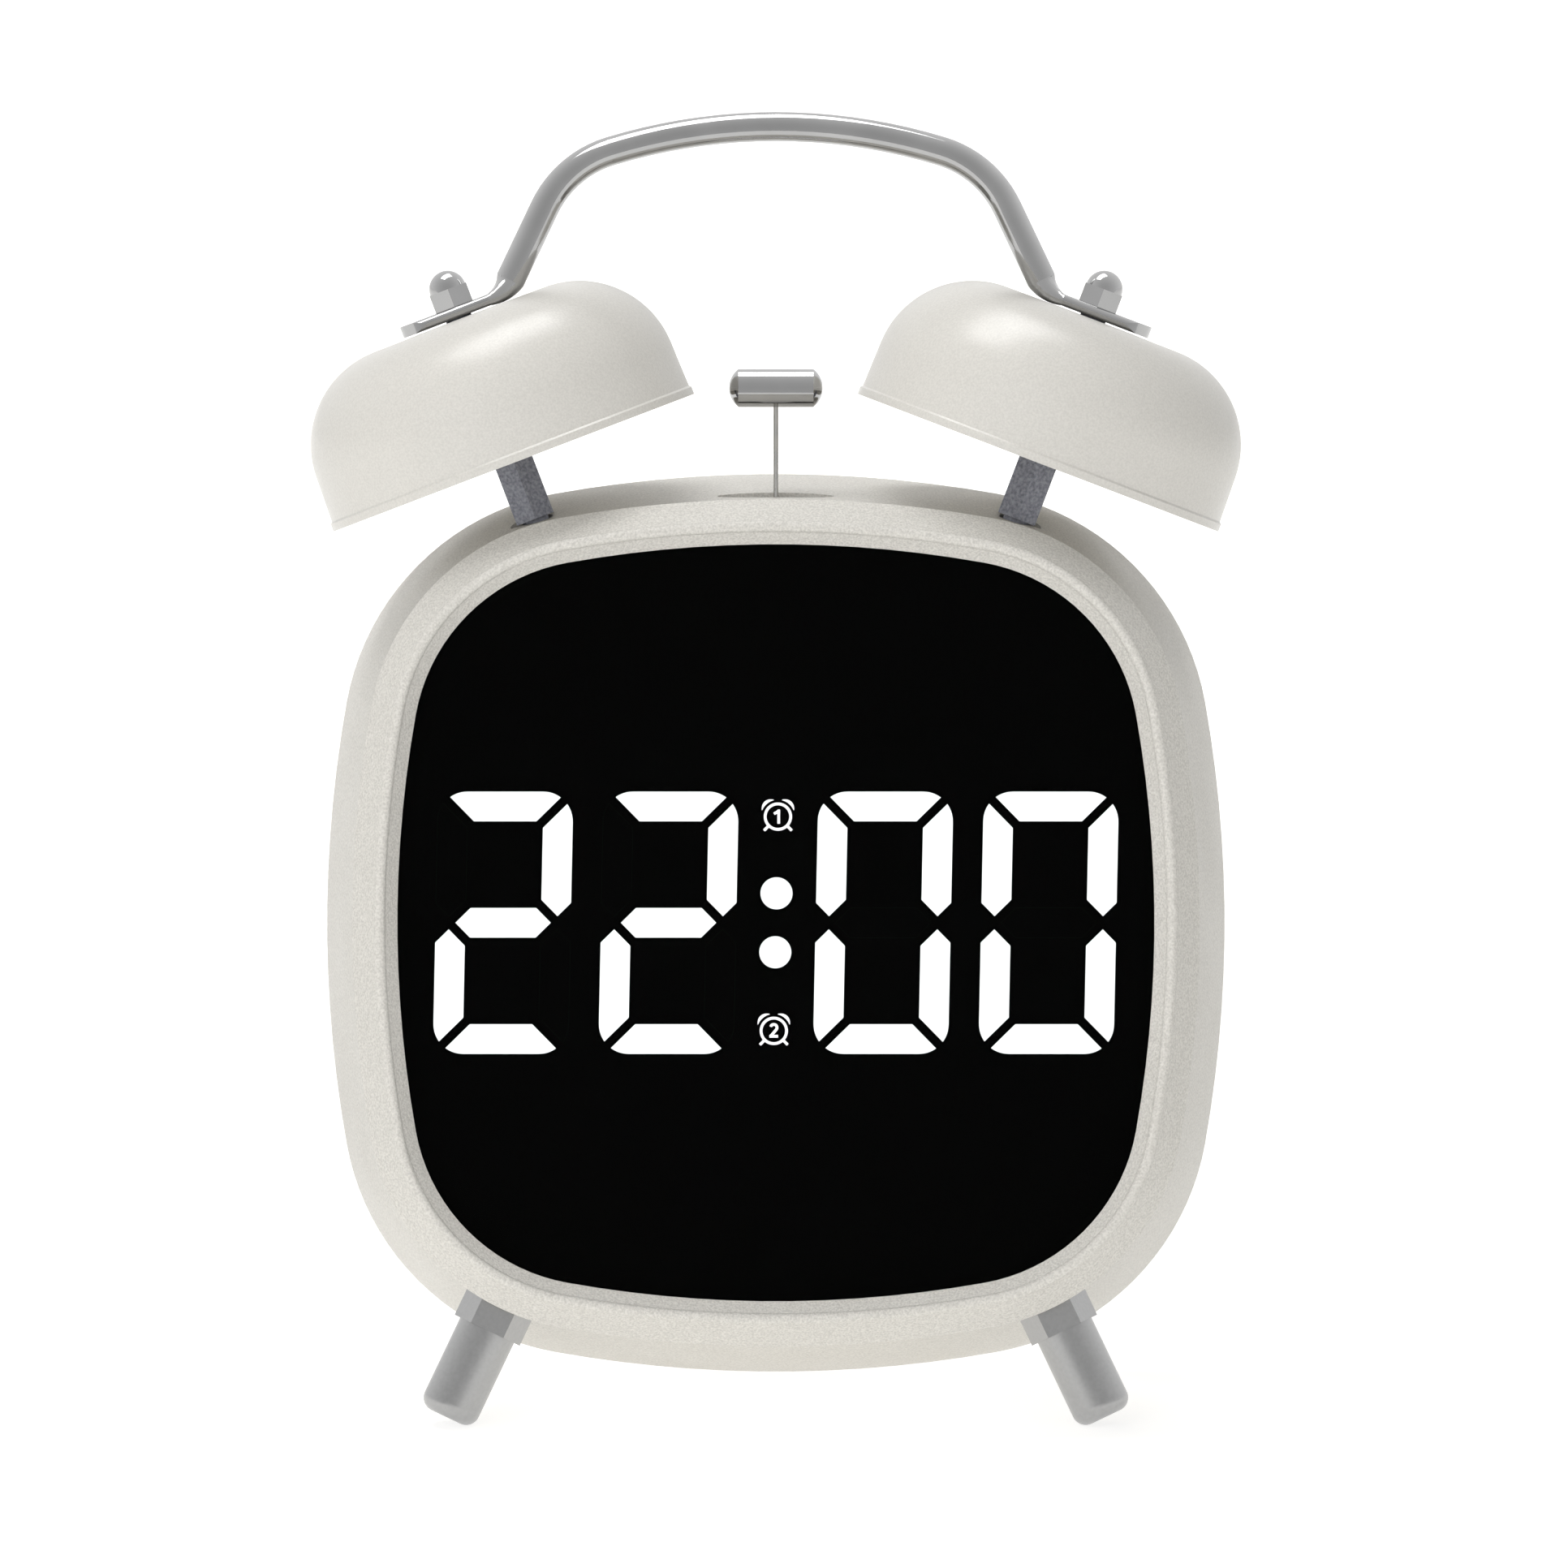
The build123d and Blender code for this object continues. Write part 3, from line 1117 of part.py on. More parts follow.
# Hammer: a lever on a pivot inside the case, a thin rod through the slot and a head between the bells
HEAD_RADIUS = HEAD_DIAMETER / 2
CAP_RADIUS = (HEAD_RADIUS**2 + HEAD_CAP**2) / (2 * HEAD_CAP)
CAP_ANGLE = math.degrees(math.asin(HEAD_RADIUS / CAP_RADIUS))
HEAD_END = HEAD_LENGTH / 2
with BuildPart() as hammer_head:
    with BuildSketch(face_plane(HARDWARE_Y)):
        with BuildLine():
            CenterArc((HEAD_END - CAP_RADIUS, HEAD_Z), CAP_RADIUS, 0, CAP_ANGLE)
            Polyline(
                (HEAD_END - HEAD_CAP, HEAD_Z + HEAD_RADIUS),
                (0, HEAD_Z + HEAD_RADIUS),
                (0, HEAD_Z),
                (HEAD_END, HEAD_Z),
            )
        make_face()
    revolve(axis=Axis((0, HARDWARE_Y, HEAD_Z), (1, 0, 0)))
    mirror(about=Plane.YZ)
    with BuildSketch(level_plane(HARDWARE_Y, HEAD_Z)):
        Circle(HAMMER_ROD_DIAMETER / 2 + PILOT_FIT)
    extrude(amount=-HEAD_DIAMETER, mode=Mode.SUBTRACT)
pieces["hammer_head"] = hammer_head

with BuildPart() as hammer_rod:
    with BuildSketch(level_plane(HARDWARE_Y, LEVER_TOP - ROD_GRIP)):
        Circle(HAMMER_ROD_DIAMETER / 2)
    extrude(amount=HEAD_Z - LEVER_TOP + ROD_GRIP)
pieces["hammer_rod"] = hammer_rod

HUB_FRONT = HARDWARE_Y - HUB_LENGTH / 2
with BuildPart() as hammer_lever:
    with BuildSketch(face_plane(HARDWARE_Y)):
        with Locations((0, (LEVER_TOP + LEVER_TAIL) / 2)):
            Rectangle(LEVER_WIDTH, LEVER_TOP - LEVER_TAIL)
    extrude(amount=LEVER_THICKNESS / 2, both=True)
    with BuildSketch(face_plane(HARDWARE_Y)):
        with Locations((0, PIVOT_Z)):
            Circle(HUB_DIAMETER / 2)
    extrude(amount=HUB_LENGTH / 2, both=True)
    with BuildSketch(face_plane(HARDWARE_Y)):
        with Locations((0, PIVOT_Z)):
            Circle(PIN_DIAMETER / 2 + STUD_FIT)
    extrude(amount=HUB_LENGTH, both=True, mode=Mode.SUBTRACT)
    with BuildSketch(level_plane(HARDWARE_Y, LEVER_TOP)):
        Circle(HAMMER_ROD_DIAMETER / 2 + PILOT_FIT)
    extrude(amount=-ROD_GRIP - PILOT_FIT, mode=Mode.SUBTRACT)
pieces["hammer_lever"] = hammer_lever

with BuildPart() as hammer_magnet:
    with BuildSketch(level_plane(HARDWARE_Y, LEVER_TAIL)):
        Rectangle(MAGNET_WIDTH, MAGNET_DEPTH)
    extrude(amount=-MAGNET_HEIGHT)
pieces["hammer_magnet"] = hammer_magnet

# Striker: a frame plate under the case top carries the pivot pin and a yoke whose coil drives the magnet
FRAME_BACK = FRAME_Y + FRAME_THICKNESS
YOKE_WIDTH = YOKE_GAP + 2 * YOKE_LIMB
YOKE_BOTTOM = YOKE_BAR_TOP - YOKE_BAR
BAR_MIDDLE = YOKE_BAR_TOP - YOKE_BAR / 2
COIL_GROWTH = FIT + BOBBIN_WALL + WINDING_THICKNESS
FRAME_BOTTOM = YOKE_BAR_TOP + COIL_GROWTH + FRAME_CLEARANCE
RIVET_X = (YOKE_GAP + YOKE_LIMB) / 2
RIVET_PLACES = [(-RIVET_X, YOKE_TOP - RIVET_DROP), (RIVET_X, YOKE_TOP - RIVET_DROP)]
PIN_FRONT = HUB_FRONT - FIT - CLIP_THICKNESS - FIT
with BuildPart() as striker_frame:
    with BuildSketch(face_plane(FRAME_Y)):
        with Locations((0, (FRAME_BOTTOM + EAR_TOP) / 2)):
            Rectangle(FRAME_WIDTH, EAR_TOP - FRAME_BOTTOM)
        with Locations((0, (EAR_BOTTOM + EAR_TOP) / 2)):
            Rectangle(EAR_SPAN + EAR_WIDTH, EAR_TOP - EAR_BOTTOM)
        with Locations((0, PIVOT_Z)):
            Circle(PIN_DIAMETER / 2 + PILOT_FIT, mode=Mode.SUBTRACT)
        with Locations(*EAR_PLACES):
            Circle(SMALL_SCREW_DIAMETER / 2 + SCREW_FIT, mode=Mode.SUBTRACT)
        with Locations(*RIVET_PLACES):
            Circle(RIVET_DIAMETER / 2 + PILOT_FIT, mode=Mode.SUBTRACT)
    extrude(amount=FRAME_THICKNESS, dir=BACK)
pieces["striker_frame"] = striker_frame

with BuildPart() as frame_screws:
    add_screws(
        back_plane(FRAME_BACK),
        from_behind(EAR_PLACES),
        SMALL_SCREW_DIAMETER,
        SMALL_SCREW_LENGTH,
        SMALL_HEAD_DIAMETER,
        SMALL_HEAD_HEIGHT,
    )
pieces["frame_screws"] = frame_screws

with BuildPart() as pivot_pin:
    with BuildSketch(face_plane(PIN_FRONT)):
        with Locations((0, PIVOT_Z)):
            Circle(PIN_DIAMETER / 2)
    extrude(amount=FRAME_BACK - PIN_FRONT, dir=BACK)
pieces["pivot_pin"] = pivot_pin

with BuildPart() as pivot_clip:
    with BuildSketch(face_plane(HUB_FRONT - FIT - CLIP_THICKNESS)):
        with Locations((0, PIVOT_Z)):
            Circle(CLIP_DIAMETER / 2)
            Circle(PIN_DIAMETER / 2 + PILOT_FIT, mode=Mode.SUBTRACT)
    extrude(amount=CLIP_THICKNESS, dir=BACK)
pieces["pivot_clip"] = pivot_clip

with BuildPart() as striker_yoke:
    with BuildSketch(face_plane(HARDWARE_Y)):
        with Locations((0, (YOKE_TOP + YOKE_BOTTOM) / 2)):
            Rectangle(YOKE_WIDTH, YOKE_TOP - YOKE_BOTTOM)
        with Locations((0, (YOKE_TOP + YOKE_BAR_TOP) / 2)):
            Rectangle(YOKE_GAP, YOKE_TOP - YOKE_BAR_TOP, mode=Mode.SUBTRACT)
        with Locations(*RIVET_PLACES):
            Circle(RIVET_DIAMETER / 2 + PILOT_FIT, mode=Mode.SUBTRACT)
    extrude(amount=YOKE_DEPTH / 2, both=True)
pieces["striker_yoke"] = striker_yoke

with BuildPart() as yoke_rivets:
    rivet_front = HARDWARE_Y - YOKE_DEPTH / 2
    with BuildSketch(face_plane(rivet_front - RIVET_HEAD_HEIGHT)):
        with Locations(*RIVET_PLACES):
            Circle(RIVET_HEAD / 2)
    extrude(amount=RIVET_HEAD_HEIGHT, dir=BACK)
    with BuildSketch(face_plane(rivet_front)):
        with Locations(*RIVET_PLACES):
            Circle(RIVET_DIAMETER / 2)
    extrude(amount=FRAME_BACK - rivet_front, dir=BACK)
    with BuildSketch(face_plane(FRAME_BACK)):
        with Locations(*RIVET_PLACES):
            Circle(RIVET_HEAD / 2)
    extrude(amount=RIVET_HEAD_HEIGHT, dir=BACK)
pieces["yoke_rivets"] = yoke_rivets

# Coil: a bobbin on the yoke's bar and the winding between its flanges
BOBBIN_HALF = YOKE_GAP / 2 - FIT
BORE = (YOKE_DEPTH + 2 * FIT, YOKE_BAR + 2 * FIT)
TUBE = (BORE[0] + 2 * BOBBIN_WALL, BORE[1] + 2 * BOBBIN_WALL)
COIL = (TUBE[0] + 2 * WINDING_THICKNESS, TUBE[1] + 2 * WINDING_THICKNESS)
FLANGE_OUT = BOBBIN_HALF - BOBBIN_FLANGE / 2


def coil_plane(x):
    """Plane across the yoke's bar, with Y to its right and Z up."""
    return Plane(origin=(x, HARDWARE_Y, BAR_MIDDLE), x_dir=BACK, z_dir=(1, 0, 0))


with BuildPart() as coil_bobbin:
    with BuildSketch(coil_plane(0)):
        Rectangle(*TUBE)
    extrude(amount=BOBBIN_HALF, both=True)
    with BuildSketch(coil_plane(-FLANGE_OUT), coil_plane(FLANGE_OUT)):
        RectangleRounded(*COIL, WINDING_THICKNESS)
    extrude(amount=BOBBIN_FLANGE / 2, both=True)
    with BuildSketch(coil_plane(0)):
        Rectangle(*BORE)
    extrude(amount=2 * BOBBIN_HALF, both=True, mode=Mode.SUBTRACT)
pieces["coil_bobbin"] = coil_bobbin

with BuildPart() as coil_winding:
    with BuildSketch(coil_plane(0)):
        RectangleRounded(COIL[0] - 2 * FIT, COIL[1] - 2 * FIT, WINDING_THICKNESS)
        Rectangle(*TUBE, mode=Mode.SUBTRACT)
    extrude(amount=BOBBIN_HALF - BOBBIN_FLANGE, both=True)
pieces["coil_winding"] = coil_winding


# Standing: the clock leans back until the feet and the rear rim reach the same floor
def lowest_foot(lean):
    """Lowest height of a foot: its end is a disc grown by the fillet's radius."""
    base = foot_plane(1)
    disc = base.origin + base.z_dir * (COLLAR_HEIGHT + FOOT_LENGTH - FOOT_FILLET)
    height = disc.Z * math.cos(lean) - disc.Y * math.sin(lean)
    slope = base.z_dir.Z * math.cos(lean)
    return height - (FOOT_DIAMETER / 2 - FOOT_FILLET) * math.sqrt(1 - slope**2) - FOOT_FILLET


def lowest_rim(lean):
    """Lowest height of the rear rim: the round of its fillet, in the middle of the bottom side."""
    return (RIM_FILLET - CASE_HALF) * math.cos(lean) - RIM_END * math.sin(lean) - RIM_FILLET


low, high = 0.0, math.radians(45)
for halving in range(50):
    lean = (low + high) / 2
    if lowest_foot(lean) < lowest_rim(lean):
        low = lean
    else:
        high = lean

turn = Location((0, 0, 0), (-math.degrees(lean), 0, 0))
leant = Compound(children=[piece.part.moved(turn) for piece in pieces.values()]).bounding_box()
standing = Location((-leant.center().X, -leant.center().Y, -lowest_rim(lean))) * turn
print("lean", math.degrees(lean), "standing", standing)

for name, piece in pieces.items():
    piece.part = piece.part.moved(standing)
    piece.part.label = name
    export_step(piece.part, f"parts/{name}.step")
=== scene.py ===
"""Twin-bell digital alarm clock: its finishes, the lit marks of its screen, the light and the camera."""

import json
import math
from typing import NamedTuple

import bpy
import numpy as np
from mathutils import Matrix, Vector


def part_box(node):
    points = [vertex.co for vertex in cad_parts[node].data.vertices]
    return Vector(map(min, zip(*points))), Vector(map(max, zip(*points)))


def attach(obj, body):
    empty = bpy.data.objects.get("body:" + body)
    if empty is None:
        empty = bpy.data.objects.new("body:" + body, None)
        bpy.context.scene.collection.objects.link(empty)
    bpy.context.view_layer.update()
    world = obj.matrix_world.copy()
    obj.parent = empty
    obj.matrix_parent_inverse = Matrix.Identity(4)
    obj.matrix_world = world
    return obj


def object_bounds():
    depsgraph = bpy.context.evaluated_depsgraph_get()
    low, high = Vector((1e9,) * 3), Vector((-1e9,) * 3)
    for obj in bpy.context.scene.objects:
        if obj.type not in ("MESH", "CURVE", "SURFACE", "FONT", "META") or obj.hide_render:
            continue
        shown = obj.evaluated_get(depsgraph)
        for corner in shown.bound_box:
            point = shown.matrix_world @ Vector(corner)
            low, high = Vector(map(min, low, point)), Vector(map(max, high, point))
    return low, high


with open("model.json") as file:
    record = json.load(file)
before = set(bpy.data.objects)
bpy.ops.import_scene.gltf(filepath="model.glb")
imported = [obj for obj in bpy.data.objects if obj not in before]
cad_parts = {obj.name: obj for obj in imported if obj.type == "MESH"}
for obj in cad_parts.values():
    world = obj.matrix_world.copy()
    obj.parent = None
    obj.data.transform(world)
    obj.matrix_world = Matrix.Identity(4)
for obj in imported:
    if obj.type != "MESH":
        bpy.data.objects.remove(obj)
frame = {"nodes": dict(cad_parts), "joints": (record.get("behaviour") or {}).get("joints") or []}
cad_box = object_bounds()
nodes = frame["nodes"]

MM = 0.001
WHITE = "#FFFFFF"

# The clock leans back on its feet, so it has axes of its own in the frame of the floor
swing = next(joint for joint in frame["joints"] if joint["name"] == "hammer_swing")
RIGHT = Vector((1.0, 0.0, 0.0))
BACK = Vector(swing["axis"]).normalized()
UP = RIGHT.cross(BACK)
AXES = np.array((RIGHT, BACK, UP))
lens_low, lens_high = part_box("screen_lens")
FACE = (lens_low + lens_high) / 2

# Picture: millimetres that it spans, where its middle lies on the face, and how far off the camera stands
PICTURE_SPAN = 200.9
PICTURE_RIGHT = 1.04
PICTURE_UP = 17.78
CAMERA_DISTANCE = 900.0

# Room light: its level beside the clock, and how much it loses to the back and to the top
ROOM_LEVEL = 0.41
ROOM_BACK_SLOPE = 0.30
ROOM_TOP_SLOPE = 0.30

# Light table: metres to its front edge and to its other edges, its glow on the clock and in view, its paper
TABLE_FRONT = 0.40
TABLE_REACH = 3.0
TABLE_GLOW = 0.47
TABLE_GLOW_SEEN = 0.70
TABLE_PAPER = "#CFCECB"

# White ground in metal and glass: its level on the camera's side, and the lean back at which it is white
GROUND_AHEAD = 0.58
GROUND_EDGE = 0.40

# Noise: the stretch of its values that nearly all of a surface has
NOISE_LOW = 0.3
NOISE_HIGH = 0.7

# Lit marks: a small alarm clock with its number, above and below the colon, in millimetres and degrees
MARK_ABOVE = 13.6
MARK_BELOW = -13.85
MARK_SLANT = 1.1
MARK_RING = 3.27
MARK_RING_POINTS = 48
MARK_STROKE = 0.35
MARK_BELL_GAP = 0.36
MARK_BELL_START = 22.0
MARK_BELL_END = 76.0
MARK_BELL_WIDTH = 0.40
MARK_BELL_TIP = 0.15
MARK_BELL_POINTS = 13
MARK_LEG_END = 1.78
MARK_THICKNESS = 0.08
MARK_LENS_GAP = 0.04

# Numbers in the marks, from the middle of the ring: each stroke by its ends, and the bow of the two
ONE_STEM = ((0.10, -0.90), (0.10, 0.90))
ONE_FLAG = ((0.22, 0.76), (-0.50, 0.36))
TWO_BOW_RADIUS = 0.41
TWO_BOW_MIDDLE = (0.0, 0.42)
TWO_BOW_START = 165.0
TWO_BOW_END = -40.0
TWO_BOW_POINTS = 15
TWO_SLANT_END = (-0.39, -0.68)
TWO_FOOT = ((-0.57, -0.69), (0.54, -0.69))


class Grain(NamedTuple):
    """Noise on a piece: millimetres from speck to speck, its detail, and its squeeze along each axis."""
    size_mm: float
    detail: float = 2.0
    squeeze: tuple = (1.0, 1.0, 1.0)


def linear(colour):
    """sRGB hex colour as linear red, green, blue and full opacity."""
    parts = [int(colour[i:i + 2], 16) / 255 for i in (1, 3, 5)]
    levels = [c / 12.92 if c <= 0.04045 else ((c + 0.055) / 1.055) ** 2.4 for c in parts]
    return (*levels, 1.0)


def add(tree, kind, inputs=None, **settings):
    """One shader node: its settings, and for each input a fixed value or the socket that feeds it."""
    node = tree.nodes.new(kind)
    for setting, value in settings.items():
        setattr(node, setting, value)
    for socket, value in (inputs or {}).items():
        if isinstance(value, bpy.types.NodeSocket):
            tree.links.new(value, node.inputs[socket])
        else:
            node.inputs[socket].default_value = value
    return node


def empty_tree(owner):
    """Node tree of a material or a world, with nothing in it."""
    owner.use_nodes = True
    owner.node_tree.nodes.clear()
    return owner.node_tree


def finish_of(name, tone, rough=None, relief=None, **fixed):
    """New material of one principled shader. The tone is a grain and the two colours it runs between, the
    roughness a grain and two numbers, the relief a grain and its depth in millimetres. All other inputs of
    the shader are fixed, and named with _ for spaces. A lit finish glows in its own tone."""
    material = bpy.data.materials.new(name)
    tree = empty_tree(material)
    place = add(tree, "ShaderNodeTexCoord").outputs["Object"]
    noise = {}
    for grain in dict.fromkeys(part[0] for part in (tone, rough, relief) if part):
        squeezed = add(tree, "ShaderNodeMapping", {"Vector": place, "Scale": grain.squeeze})
        noise[grain] = add(tree, "ShaderNodeTexNoise", {
            "Vector": squeezed.outputs["Vector"],
            "Scale": 1 / (grain.size_mm * MM),
            "Detail": grain.detail,
        }).outputs["Fac"]
    inputs = {socket.replace("_", " "): value for socket, value in fixed.items()}

    grain, low, high = tone
    ramp = add(tree, "ShaderNodeValToRGB", {"Fac": noise[grain]})
    for stop, position, colour in zip(ramp.color_ramp.elements, (NOISE_LOW, NOISE_HIGH), (low, high)):
        stop.position = position
        stop.color = linear(colour)
    inputs["Base Color"] = ramp.outputs["Color"]
    if "Emission Strength" in inputs:
        inputs["Emission Color"] = ramp.outputs["Color"]
    if rough:
        grain, low, high = rough
        span = {"From Min": NOISE_LOW, "From Max": NOISE_HIGH, "To Min": low, "To Max": high}
        level = add(tree, "ShaderNodeMapRange", {"Value": noise[grain], **span})
        inputs["Roughness"] = level.outputs["Result"]
    if relief:
        grain, depth_mm = relief
        bump = add(tree, "ShaderNodeBump", {"Height": noise[grain], "Distance": depth_mm * MM})
        inputs["Normal"] = bump.outputs["Normal"]

    shader = add(tree, "ShaderNodeBsdfPrincipled", inputs)
    add(tree, "ShaderNodeOutputMaterial", {"Surface": shader.outputs["BSDF"]})
    return material


def moulded_abs():
    """Cream ABS from a spark-eroded mould: a satin skin with a fine, even speckle. The speckle is drawn
    coarser than the real one, so that it shows."""
    speckle = Grain(0.28, detail=1.0)
    cloud = Grain(14.0)
    return finish_of(
        "cream_moulded_abs", tone=(speckle, "#D3D0C9", "#EEEBE4"), rough=(cloud, 0.44, 0.54),
        relief=(speckle, 0.06), IOR=1.53, Specular_IOR_Level=0.3)


def stoved_enamel():
    """Cream stoving enamel on pressed steel: an even satin gloss, faintly rippled and finely speckled."""
    speckle = Grain(0.28, detail=1.0)
    ripple = Grain(2.4)
    return finish_of(
        "cream_stoved_enamel", tone=(speckle, "#DCD9D2", "#E7E4DD"), rough=(ripple, 0.28, 0.34),
        relief=(ripple, 0.015), IOR=1.65)


def polished_chrome():
    """Buffed chromium plate: almost a mirror, with faint cloudy haze from the buffing wheel."""
    haze = Grain(6.0)
    return finish_of(
        "polished_chrome", tone=(haze, "#B0B0B0", "#B7B7B7"), rough=(haze, 0.08, 0.12), Metallic=1.0)


def satin_nickel():
    """Satin nickel plate on turned steel: soft reflections under a fine, even haze."""
    haze = Grain(0.5)
    return finish_of(
        "satin_nickel", tone=(haze, "#AAAAAA", "#B0B0B0"), rough=(haze, 0.28, 0.34), Metallic=1.0)


def blasted_gunmetal():
    """Bead-blasted steel with a dark phosphate skin: grey-blue, grainy, hardly shiny."""
    grit = Grain(0.4)
    return finish_of(
        "blasted_gunmetal", tone=(grit, "#767882", "#ACAEB8"), rough=(grit, 0.42, 0.6),
        relief=(grit, 0.04), Metallic=0.5)


def bright_zinc():
    """Bright zinc plate on steel: clear metal with a slightly cloudy, warm-and-cold bloom."""
    bloom = Grain(3.0)
    return finish_of(
        "bright_zinc_plate", tone=(bloom, "#C4C6C8", "#D6D4CE"), rough=(bloom, 0.2, 0.34), Metallic=1.0)


def soft_iron():
    """Annealed iron with a thin oil film: dull dark grey with mill clouds."""
    cloud = Grain(2.0, detail=4.0)
    return finish_of(
        "annealed_soft_iron", tone=(cloud, "#5C5A58", "#777573"), rough=(cloud, 0.38, 0.55), Metallic=1.0)


def smoked_acrylic():
    """Smoked acrylic sheet with bloomed faces: dark and clear, its low IOR the coating that kills glare."""
    haze = Grain(9.0)
    return finish_of(
        "smoked_acrylic", tone=(haze, "#8C8C8E", "#909092"), rough=(haze, 0.0, 0.02),
        IOR=1.08, Transmission_Weight=1.0)


def black_abs():
    """Black ABS with a matt moulded skin, so that no stray light shows round the figures."""
    speckle = Grain(0.5)
    return finish_of(
        "matt_black_abs", tone=(speckle, "#060606", "#0B0B0B"), rough=(speckle, 0.6, 0.75),
        relief=(speckle, 0.02), IOR=1.53, Specular_IOR_Level=0.15)


def lit_diffuser():
    """Milky resin lit from behind by white light-emitting diodes."""
    cloud = Grain(5.0)
    return finish_of("lit_white_diffuser", tone=(cloud, "#FCFCFC", WHITE), IOR=1.5, Emission_Strength=4.5)


def unlit_diffuser():
    """The same resin with no light behind it, tinted so that it is lost in the dark screen."""
    cloud = Grain(5.0)
    return finish_of(
        "unlit_dark_diffuser", tone=(cloud, "#080808", "#0C0C0C"), rough=(cloud, 0.5, 0.6),
        IOR=1.5, Specular_IOR_Level=0.15)


def solder_mask():
    """Glass-epoxy board under a green solder mask: glossy, with a faint weave showing through."""
    weave = Grain(0.8, detail=1.0, squeeze=(1.0, 1.0, 3.0))
    return finish_of(
        "green_solder_mask", tone=(weave, "#14472C", "#1E5C3A"), rough=(weave, 0.26, 0.36), IOR=1.55)


def button_rubber():
    """Grey silicone rubber keys: soft, dusty-looking and matt."""
    dust = Grain(0.5)
    return finish_of(
        "grey_silicone_rubber", tone=(dust, "#8B8B88", "#989895"), rough=(dust, 0.58, 0.7),
        relief=(dust, 0.02), IOR=1.42)


def enamelled_copper():
    """Enamelled copper wire wound tight: orange-brown metal in fine close turns."""
    turns = Grain(0.3, detail=1.0, squeeze=(0.2, 0.2, 1.0))
    return finish_of(
        "enamelled_copper_wire", tone=(turns, "#8E4A25", "#C97A45"), rough=(turns, 0.28, 0.4),
        relief=(turns, 0.05), Metallic=1.0, Coat_Weight=0.8, Coat_Roughness=0.15)


def natural_nylon():
    """Natural nylon moulding: milky off-white, a little waxy."""
    cloud = Grain(4.0)
    return finish_of(
        "natural_nylon", tone=(cloud, "#D9D5C8", "#E4E1D6"), rough=(cloud, 0.36, 0.46), IOR=1.53)


def cell_sleeve():
    """Shrunk plastic sleeve on a dry cell: plain dark grey, glossy, drawn tight."""
    cloud = Grain(3.0)
    return finish_of(
        "plain_cell_sleeve", tone=(cloud, "#3A4148", "#454C54"), rough=(cloud, 0.28, 0.36),
        IOR=1.5, Coat_Weight=0.4)


def dress(material, *names):
    """Gives one finish to CAD nodes."""
    for name in names:
        nodes[name].material_slots[0].material = material


def back_of(node):
    """Furthest place of a node to the back of the clock, in millimetres from the middle of the face."""
    mesh = nodes[node].data
    points = np.empty(len(mesh.vertices) * 3, dtype=np.float32)
    mesh.vertices.foreach_get("co", points)
    depth = (points.reshape(-1, 3) - np.array(FACE)) @ np.array(BACK)
    return depth.max() / MM


def ribbon(path, width, closed=False):
    """Flat stroke along a path on the face: at each point the section is a rectangle, half a width to
    either side of the path along its normal and half a thickness to the front and back.
    Returns points in the clock's axes and quads, ends closed by one quad each."""
    path = np.asarray(path, dtype=float)
    count = len(path)
    if closed:
        run = np.roll(path, -1, axis=0) - np.roll(path, 1, axis=0)
    else:
        run = np.gradient(path, axis=0)
    run /= np.linalg.norm(run, axis=1, keepdims=True)
    side = np.column_stack((-run[:, 1], run[:, 0])) * np.reshape(width, (-1, 1)) / 2
    left = path + side
    right = path - side
    front = np.full(count, -MARK_THICKNESS / 2)
    rows = np.stack((
        np.column_stack((left[:, 0], front, left[:, 1])),
        np.column_stack((right[:, 0], front, right[:, 1])),
        np.column_stack((right[:, 0], -front, right[:, 1])),
        np.column_stack((left[:, 0], -front, left[:, 1])),
    ), axis=1)
    # A section has four corners, and a quad joins each of its sides to the same side of the next section
    first = np.arange(count if closed else count - 1)[:, None] * 4
    ahead = (first + 4) % (count * 4)
    corner = np.arange(4)[None, :]
    beside = (corner + 1) % 4
    quads = np.stack((first + corner, first + beside, ahead + beside, ahead + corner), axis=2)
    quads = quads.reshape(-1, 4)
    if not closed:
        ends = np.array(((3, 2, 1, 0), (0, 1, 2, 3))) + np.array(((0,), (count * 4 - 4,)))
        quads = np.vstack((quads, ends))
    return rows.reshape(-1, 3), quads


def piece(name, parts, material, body, middle):
    """One new object from several point and quad arrays, about a middle in the clock's axes (mm)."""
    points = []
    faces = []
    start = 0
    for part_points, part_faces in parts:
        points.append(part_points)
        faces.append(part_faces + start)
        start += len(part_points)
    local = (np.vstack(points) + np.array(middle)) * MM
    world = local @ AXES + np.array(FACE)
    mesh = bpy.data.meshes.new(name)
    mesh.from_pydata(world.tolist(), [], np.vstack(faces).tolist())
    mesh.validate()
    mesh.materials.append(material)
    made = bpy.data.objects.new(name, mesh)
    bpy.context.scene.collection.objects.link(made)
    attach(made, body)


def around(radius, start, end, count, middle=(0.0, 0.0)):
    """Points about a middle on the face, from one angle to the other in degrees, at one radius or at one
    radius for each point."""
    angle = np.radians(np.linspace(start, end, count))
    return np.column_stack((np.cos(angle), np.sin(angle))) * np.reshape(radius, (-1, 1)) + np.array(middle)


